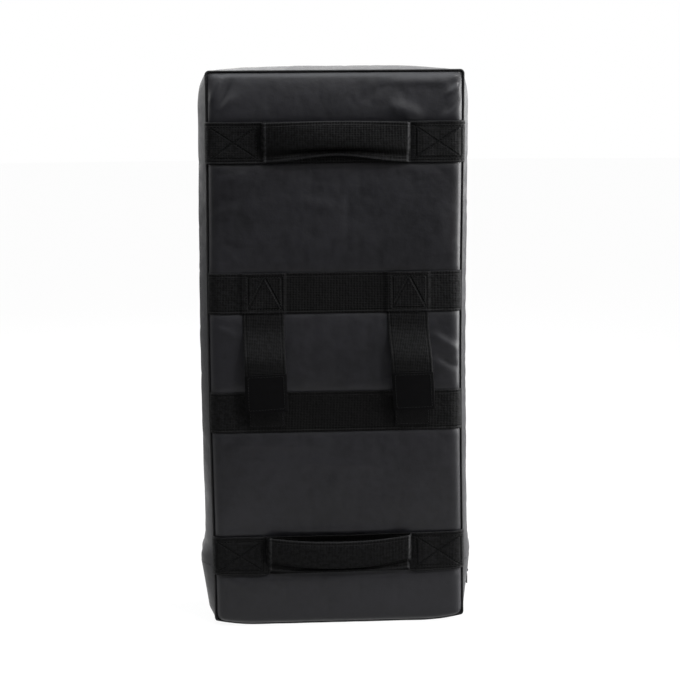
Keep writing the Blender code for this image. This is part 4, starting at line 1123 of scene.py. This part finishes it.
def makeCore(which, look, middle, width, height):
    # A soft bar behind the grip's face, leaning as it does: an oval section that tapers at both ends
    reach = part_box(which + "_handle_core")[1].x
    x = np.linspace(-reach, reach, grip["coreRings"])
    t = np.linspace(0, 2 * np.pi, grip["coreCorners"], endpoint=False)[None, :, None]
    taper = (np.clip(1 - (np.abs(x) / reach) ** 8, 0.02, 1) ** 0.5)[:, None, None]
    face = handlePoints(x, look, middle, width, height)
    row = int(grip["coreAt"] * (grip["columns"] - 1))
    forward = gridNormals(face)[:, row]
    forward = np.where(forward[:, 1:2] > 0, -forward, forward)
    downward = unit(face[:, row + 2] - face[:, row - 2])
    depth = web["thickness"] / 2 + grip["coreGap"] + grip["coreHalfDepth"]
    points = (face[:, row] - forward * depth)[:, None] \
        + downward[:, None] * np.cos(t) * grip["coreHalfHeight"] * taper \
        + forward[:, None] * np.sin(t) * grip["coreHalfDepth"] * taper
    faces, _ = outward(points, ringFaces(grip["coreRings"], grip["coreCorners"], capped=True))
    piece = makeMesh(which + "HandleCore", points, faces, coreFoam, smoothAngle=60)
    place(piece, which + "_handle", "firm_foam", which + "_handle_core")


def makeHandle(which, look):
    middle, width = bands[look["band"]]["middle"], bands[look["band"]]["width"]
    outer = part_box(which + "_handle_end_right")[1].x
    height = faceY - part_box(which + "_handle_grip")[0].y - web["thickness"] / 2
    foot, top = grip["foot"], grip["top"]
    bend = {"bodies": ("pad", which + "_handle"), "start": (0.0, faceY - grip["stillTo"], middle),
            "end": (0.0, faceY - grip["tiltsFrom"], middle)}       # a bend record that nothing carries out

    x = np.linspace(-top, top, grip["rows"])
    centre = handlePoints(x, look, middle, width, height)
    piece = webStrip(which + "HandleGrip", centre, web["thickness"], gripWebbing[which])
    place(piece, None, "webbing", which + "_handle_grip", blend=bend)

    x = np.concatenate([np.linspace(outer, foot, grip["endRows"])[:-1],
                        np.linspace(foot, top, grip["sideRows"])])
    for word, side in sides.items():                        # the sewn end and its riser
        name = word.capitalize()
        centre = handlePoints(side * x, look, middle, width, height)
        piece = webStrip(f"{which}HandleSide{name}", centre, web["thickness"], sewnWebbing[which])
        place(piece, None, "webbing", f"{which}_handle_end_{word}", f"{which}_handle_riser_{word}",
              blend=bend)
        surface = padSurface(seat + 2 * web["layer"] - grip["stitchSink"], sewnHump)
        piece = stitchesAlong(f"{which}HandleStitch{name}", boxRuns(sewnBoxes[which][word]), surface)
        place(piece, "pad", "webbing")
    makeCore(which, look, middle, width, height)


for which, look in handles.items():
    makeHandle(which, look)
print("handles made")


# Forearm straps

strap = {
    "width": 0.050, "length": 0.125, "tabStart": 0.077, "rootIn": 0.036, "columns": 15,
    "bowAngle": 29.0, "bowPower": 1.5, "bowLength": 0.066, "returnAngle": -4.0,
    "cup": 0.0007, "cupFrom": 0.06, "freeFrom": 0.025,
    "swingBend": 0.004, "peelBend": 0.008,          # lengths at the hinges, kept in bend records that nothing carries out
    "coverThickness": 0.0010, "coverMargin": 0.0006, "coverGap": 0.00015, "coverStart": 0.001,
    "seamStart": 0.0035, "seamIn": 0.003,
    "hookWidth": 0.044, "hookThickness": 0.0012, "hookGap": 0.0003, "hookIn": 0.004,
    "loopThickness": 0.0011, "loopSeamIn": 0.0018,
}
# how far each strap hangs out of plumb in degrees, and how much it slopes across
arms = {"left": {"lean": 1.3, "tilt": 0.055}, "right": {"lean": 3.2, "tilt": 0.022}}


def strapPath(reach):
    # Height off the panel, drop and lean at a distance down the strap from the band's lower edge
    fine = np.linspace(0, strap["length"] + 0.002, 600)
    swing = strap["bowAngle"] * np.sin(np.pi * np.clip(fine / strap["bowLength"], 0, 1) ** strap["bowPower"])
    late = np.clip((fine - strap["bowLength"]) / (strap["length"] - strap["bowLength"]), 0, 1)
    lean = np.radians(swing + strap["returnAngle"] * np.sin(late * np.pi / 2))
    step = np.diff(fine, prepend=0)
    height = seat + web["thickness"] / 2 + np.cumsum(np.sin(lean) * step)
    drop = np.cumsum(np.cos(lean) * step)
    inside = np.minimum(reach, 0)
    return np.interp(reach, fine, height), np.interp(reach, fine, drop) + inside, np.interp(reach, fine, lean)


def strapGrid(word, reach, wide, offset):
    # Centre surface of a layer at an offset from the webbing's middle; a slight cup across
    arm = arms[word]
    armLow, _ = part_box("upper_arm_band")
    rootLow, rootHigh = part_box("arm_strap_root_" + word)
    height, drop, lean = strapPath(reach)
    hang = smooth(reach / strap["cupFrom"])
    cup = strap["cup"] * (1 - (2 * wide / strap["width"]) ** 2)[None] * hang[:, None]
    tilt = arm["tilt"] * smooth(np.maximum(reach, 0) / strap["length"])
    out = height[:, None] + (offset + cup) * np.cos(lean)[:, None]
    z = armLow.z - drop[:, None] + (offset + cup) * np.sin(lean)[:, None] + tilt[:, None] * wide[None]
    x = (rootLow.x + rootHigh.x) / 2 + wide[None] \
        + np.maximum(reach, 0)[:, None] * math.tan(math.radians(arm["lean"]))
    x = x + 0 * z
    free = smooth(reach / strap["freeFrom"])[:, None] + 0 * z
    return mixPoints(onPad(x, z, out), overPad(x, z, out), free)


def jointPlace(name):
    return next(joint["pos_m"] for joint in frame["joints"] if joint["name"] == name)


def makeStrap(word):
    name = word.capitalize()
    wide = np.linspace(-0.5, 0.5, strap["columns"]) * strap["width"]
    half = web["thickness"] / 2
    x, y, z = jointPlace(f"arm_strap_{word}_swing")
    reach = np.concatenate([np.linspace(-strap["rootIn"], 0, 10)[:-1], np.linspace(0, strap["tabStart"], 60)])
    piece = webStrip("armStrap" + name, strapGrid(word, reach, wide, 0.0), web["thickness"], shadedStrapWebbing)
    bend = {"bodies": ("pad", f"{word}_arm_strap"),
            "start": (x, y, z + strap["swingBend"]), "end": (x, y, z - strap["swingBend"])}
    place(piece, None, "webbing", f"arm_strap_root_{word}", f"arm_strap_{word}", blend=bend)

    x, y, z = jointPlace(f"strap_tab_{word}_peel")
    bend = {"bodies": (f"{word}_arm_strap", f"{word}_strap_tab"),
            "start": (x, y, z), "end": (x, y, z - strap["peelBend"])}
    reach = np.linspace(strap["tabStart"], strap["length"], 40)
    piece = webStrip("strapTab" + name, strapGrid(word, reach, wide, 0.0), web["thickness"],
                     shadedStrapWebbing, uvStart=strap["tabStart"] + strap["rootIn"])
    place(piece, None, "webbing", f"strap_tab_{word}", blend=bend)
    coverHalf = strap["coverThickness"] / 2
    reach = np.linspace(strap["tabStart"] + strap["coverStart"], strap["length"] + strap["coverMargin"], 44)
    coverWide = wide * (1 + 2 * strap["coverMargin"] / strap["width"])
    cover = strapGrid(word, reach, coverWide, half + strap["coverGap"] + coverHalf)
    piece = webStrip("tabCover" + name, cover, strap["coverThickness"], tabLeather)
    place(piece, None, "tab_leather", f"tab_cover_{word}", blend=bend)

    def coverSurface(down, wideAt):
        # Reads the cover's outer face at a distance down it and across it
        rows = np.interp(down, reach, np.arange(len(reach)))
        columns = np.interp(wideAt, coverWide, np.arange(len(coverWide)))
        normal = unit(sampleGrid(gridNormals(cover), rows, columns))
        normal = np.where(normal[:, 1:2] > 0, -normal, normal)
        return sampleGrid(cover, rows, columns) + normal * coverHalf, normal
    near, far = strap["tabStart"] + strap["seamStart"], strap["length"] - strap["seamIn"]
    edge = strap["width"] / 2 - strap["seamIn"]
    runs = [[(near, -edge), (near, edge), (far, edge), (far, -edge), (near, -edge)]]
    place(stitchesAlong("tabStitch" + name, runs, coverSurface), f"{word}_strap_tab", "tab_leather")

    hookWide = np.linspace(-0.5, 0.5, 9) * strap["hookWidth"]
    hookReach = np.linspace(strap["tabStart"] + strap["hookIn"], strap["length"] - strap["hookIn"], 24)
    under = strapGrid(word, hookReach, hookWide, -half - strap["hookGap"] - strap["hookThickness"] / 2)
    piece = webStrip("hookPatch" + name, under, strap["hookThickness"], loopPile)
    place(piece, f"{word}_strap_tab", "hook_and_loop", "hook_patch_" + word)

    low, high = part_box("loop_patch_" + word)
    x, z = np.meshgrid(np.linspace(low.x, high.x, 14), np.linspace(low.z, high.z, 12), indexing="ij")
    loops = onPad(x, z, web["layer"] + seat + strap["loopThickness"] / 2 + 0 * x)
    piece = webStrip("loopPatch" + name, loops, strap["loopThickness"], loopPile)
    place(piece, "pad", "hook_and_loop", "loop_patch_" + word)
    inset = strap["loopSeamIn"]
    runs = [boxRun(low.x + inset, high.x - inset, low.z + inset, high.z - inset)]
    surface = padSurface(web["layer"] + seat + strap["loopThickness"])
    # The loop patches' stitches take the thread's darker copy, painted shade under the straps
    place(stitchesAlong("loopStitch" + name, runs, surface, shadowedThread), "pad", "webbing")

    surface = padSurface(2 * web["layer"])                   # a box and a triangle hold the root
    place(stitchesAlong("rootStitch" + name, boxRuns(sewnBoxes["roots"][word]), surface), "pad", "webbing")


for word in arms:
    makeStrap(word)
print("straps hung")


# Piping along both seams

welt = {"radius": 0.0013, "inset": 0.0003, "out": 0.0007, "floorGap": 1.12, "uneven": 0.10}


def makePiping(name, side, node):
    # A cord along the pad's outline, a little outside the seam, that rests on the floor with the base
    x, z, wayX, wayZ = padMap(*rimShares(across, up), welt["inset"])
    y = side * (halfDepth + welt["out"])
    z = np.maximum(z, welt["radius"] * welt["floorGap"])
    centre = settle(np.stack([x, 0 * x + y, z], -1))
    length = np.cumsum(np.linalg.norm(centre - np.roll(centre, 1, axis=0), axis=1))
    noise = softNoise(length / length[-1], [0.5], (160, 2), 80 + side, True)[:, 0]
    radius = welt["radius"] * (1 + welt["uneven"] * noise)
    out = np.stack([wayX, 0 * x, wayZ], -1)
    deep = np.broadcast_to(np.array([0.0, 1.0, 0.0]), out.shape)
    piece = tubeAround(name, centre, out, deep, radius, pipingLeather)
    place(piece, "pad", "piping", node)


makePiping("backPiping", -1, "back_piping")
makePiping("strikePiping", 1, "strike_piping")
print("piping laid")


# Zip round the bottom end

zipParts = {"leather": 0.0012, "tape": 0.0008, "tapeGap": 0.0003, "tapeTop": 0.084, "tapeEdge": 0.0033,
            "tapeOuter": 0.014, "leatherRows": 16, "tapeRows": 7}


def zipSpan(last):
    # Stations round the rim from the left end of the zip, under the base, to its right end
    rimAcross, rimUp = rimShares(across, up)
    stations = np.arange(len(rimUp))
    leftWall = (rimAcross == 0) & (stations > len(rimUp) // 2)
    low = rimUp <= last
    return np.concatenate([stations[low & leftWall], stations[low & ~leftWall]])


def zipStrip(name, side, first, last, rows, inset, top, thickness, finish):
    # A strip of the side wall between two depths, below a height
    depths = side * np.linspace(first, last, rows)
    centre = gussetPoints(across, up, depths, inset)[:, zipSpan(top)].transpose(1, 0, 2)
    return webStrip(name, centre, thickness, finish)


def makeZip():
    leatherHalf, tapeHalf = zipParts["leather"] / 2, zipParts["tape"] / 2
    under = zipParts["leather"] + zipParts["tapeGap"] + tapeHalf
    for side, word in ((-1, "back"), (1, "strike")):
        name = word.capitalize()
        piece = zipStrip("zipGusset" + name, side, pad["zipSlot"], depthEdge, zipParts["leatherRows"],
                         leatherHalf, zipEnd, zipParts["leather"], leather)
        place(piece, "pad", "leather", "zip_gusset_" + word)
        piece = zipStrip("zipTape" + name, side, zipParts["tapeEdge"], zipParts["tapeOuter"],
                         zipParts["tapeRows"], under, zipParts["tapeTop"] / padHeight, zipParts["tape"],
                         tapeCloth)
        place(piece, "pad", "zip_tape", "zip_tape_" + word)


makeZip()
hardware = {"zip_teeth_back": nylon, "zip_teeth_strike": nylon, "zip_bottom_stop": nylon,
            "zip_top_stop_back": nylon, "zip_top_stop_strike": nylon,
            "zip_slider": paintedZinc, "zip_pull": paintedZinc}
for node, finish in hardware.items():
    frame["nodes"][node].data.materials.clear()
    frame["nodes"][node].data.materials.append(finish)
print("zip fitted")


# Studio

studio = {
    "eye": {"target": (0.0066, midY, 0.3582), "distance": 2.1324, "down": 7.993, "aside": 3.383,
            "roll": -0.474, "lens": 87.60},
    # a sun where a lamp has an angle, else a square lamp; aside and rise in degrees from the strap side
    "lamps": {
        "key": {"aside": 36.0, "rise": 42.0, "angle": 6.0, "strength": 1.85},
        "rim": {"aside": 92.0, "rise": 10.0, "distance": 1.1, "size": 0.8, "power": 24.0},
        "top": {"aside": 2.0, "rise": 70.0, "distance": 1.5, "size": 0.9, "power": 9.0,
                "tint": (0.86, 0.92, 1.0)},
        "behind": {"aside": 205.0, "rise": 38.0, "distance": 2.4, "size": 1.6, "power": 26.0},
        "left": {"aside": -112.0, "rise": 22.0, "distance": 2.4, "size": 1.4, "power": 18.0},
    },
    "fill": 0.06, "gloss": {"front": 0.02, "back": 1.1, "right": 10.0, "rightFrom": 0.36,
                            "left": 0.9, "leftFrom": 0.15, "above": 5.4, "aboveFrom": 0.28},
    "floor": {"lit": 0.12, "own": 0.925, "gloss": 1.25, "near": 0.4, "far": 1.7, "height": -0.0004,
              "radii": (0.6, 1.2, 2.4, 4.8, 9.6, 19.2), "corners": 96},
}


def makeCamera(look):
    # It looks at the target from a distance, so far down and aside, and is rolled about its own axis
    down, aside = math.radians(look["down"]), math.radians(look["aside"])
    way = Vector((-math.sin(aside) * math.cos(down), -math.cos(aside) * math.cos(down), math.sin(down)))
    target = Vector(look["target"])
    camera = bpy.data.objects.new("camera", bpy.data.cameras.new("camera"))
    scene.collection.objects.link(camera)
    turn = (-way).to_track_quat("-Z", "Y").to_matrix().to_4x4()
    camera.matrix_world = Matrix.Translation(target + way * look["distance"]) @ turn \
        @ Matrix.Rotation(math.radians(look["roll"]), 4, "Z")
    camera.data.lens = look["lens"]
    camera.data.sensor_width = 36.0
    camera.data.clip_end = 100.0
    scene.camera = camera


def lampWay(look):
    aside, rise = math.radians(look["aside"]), math.radians(look["rise"])
    return Vector((math.sin(aside) * math.cos(rise), -math.cos(aside) * math.cos(rise), math.sin(rise)))


def makeLamp(name, look):
    data = bpy.data.lights.new(name, "SUN" if "angle" in look else "AREA")
    if "angle" in look:
        data.angle, data.energy = math.radians(look["angle"]), look["strength"]
    else:
        data.shape, data.size, data.energy = "SQUARE", look["size"], look["power"]
    data.color = look.get("tint", (1.0, 1.0, 1.0))
    lamp = bpy.data.objects.new(name, data)
    scene.collection.objects.link(lamp)
    way = lampWay(look)
    lamp.location = Vector((0.0, 0.0, padHeight / 2)) + way * look.get("distance", 4.0)
    lamp.rotation_euler = (-way).to_track_quat("-Z", "Y").to_euler()


def makeWorld(look):
    # White to the camera; to gloss, bright behind, above and on the right, dim on the left and in front
    world = bpy.data.worlds.new("studio")
    world.use_nodes = True
    scene.world = world
    nodes = Nodes(world.node_tree)
    background = nodes.tree.nodes["Background"].inputs
    nodes.plug(background["Color"], (1.0, 1.0, 1.0, 1.0))
    sideways, behind, high = nodes.split(nodes.node("ShaderNodeTexCoord", output="Generated"))
    gloss = look["gloss"]

    def beyond(value, start):
        # 0 up to the start, and from there to 1 in the direction itself
        return nodes.math("MAXIMUM", (value - start) / (1 - start), 0.0)

    toward = nodes.math("MAXIMUM", nodes.math("MINIMUM", behind * 2.5 + 0.2, 1.0), 0.0)
    bright = gloss["front"] + toward * gloss["back"] \
        + beyond(sideways, gloss["rightFrom"]) * gloss["right"] \
        + beyond(0.0 - sideways, gloss["leftFrom"]) * gloss["left"] \
        + beyond(high, gloss["aboveFrom"]) * gloss["above"]
    seen, glossy, clear = nodes.rays("Camera", "Glossy", "Transmission")
    plain = (1 - seen) * (1 - glossy) * (1 - clear)
    nodes.plug(background["Strength"], seen + clear + glossy * bright + plain * look["fill"])


def makeFloor(look):
    # A round floor: nearly white to the camera but for the pad's shadow, and dim to every other ray
    turn = np.linspace(0, 2 * np.pi, look["corners"], endpoint=False)
    circle = np.stack([np.cos(turn), np.sin(turn)], -1)
    flat = np.concatenate([[[0.0, 0.0]]] + [radius * circle for radius in look["radii"]])
    points = np.column_stack([flat, np.full(len(flat), look["height"])])
    count = len(turn)
    faces = [[0, 1 + k, 1 + (k + 1) % count] for k in range(count)]
    faces += [[1 + v for v in face[::-1]] for face in ringFaces(len(look["radii"]), count)]
    made = Finish("floorWhite", Roughness=1.0, Specular_IOR_Level=0.0, Base_Color=(look["lit"],) * 3 + (1.0,))
    seen, glossy = made.rays("Camera", "Glossy")
    far = made.node("ShaderNodeVectorMath", {"operation": "LENGTH"}, output="Value", n0=made.place())
    strength = seen * look["own"] + glossy * made.ease(far, look["near"], look["far"], look["gloss"], 0.0)
    made.wear(Emission_Color=(1.0, 1.0, 1.0, 1.0), Emission_Strength=strength)
    makeMesh("floor", points, faces, made.material)


makeCamera(studio["eye"])
for name, look in studio["lamps"].items():
    makeLamp(name, look)
makeWorld(studio)
makeFloor(studio["floor"])
scene.view_settings.view_transform = "Standard"
print("studio set")
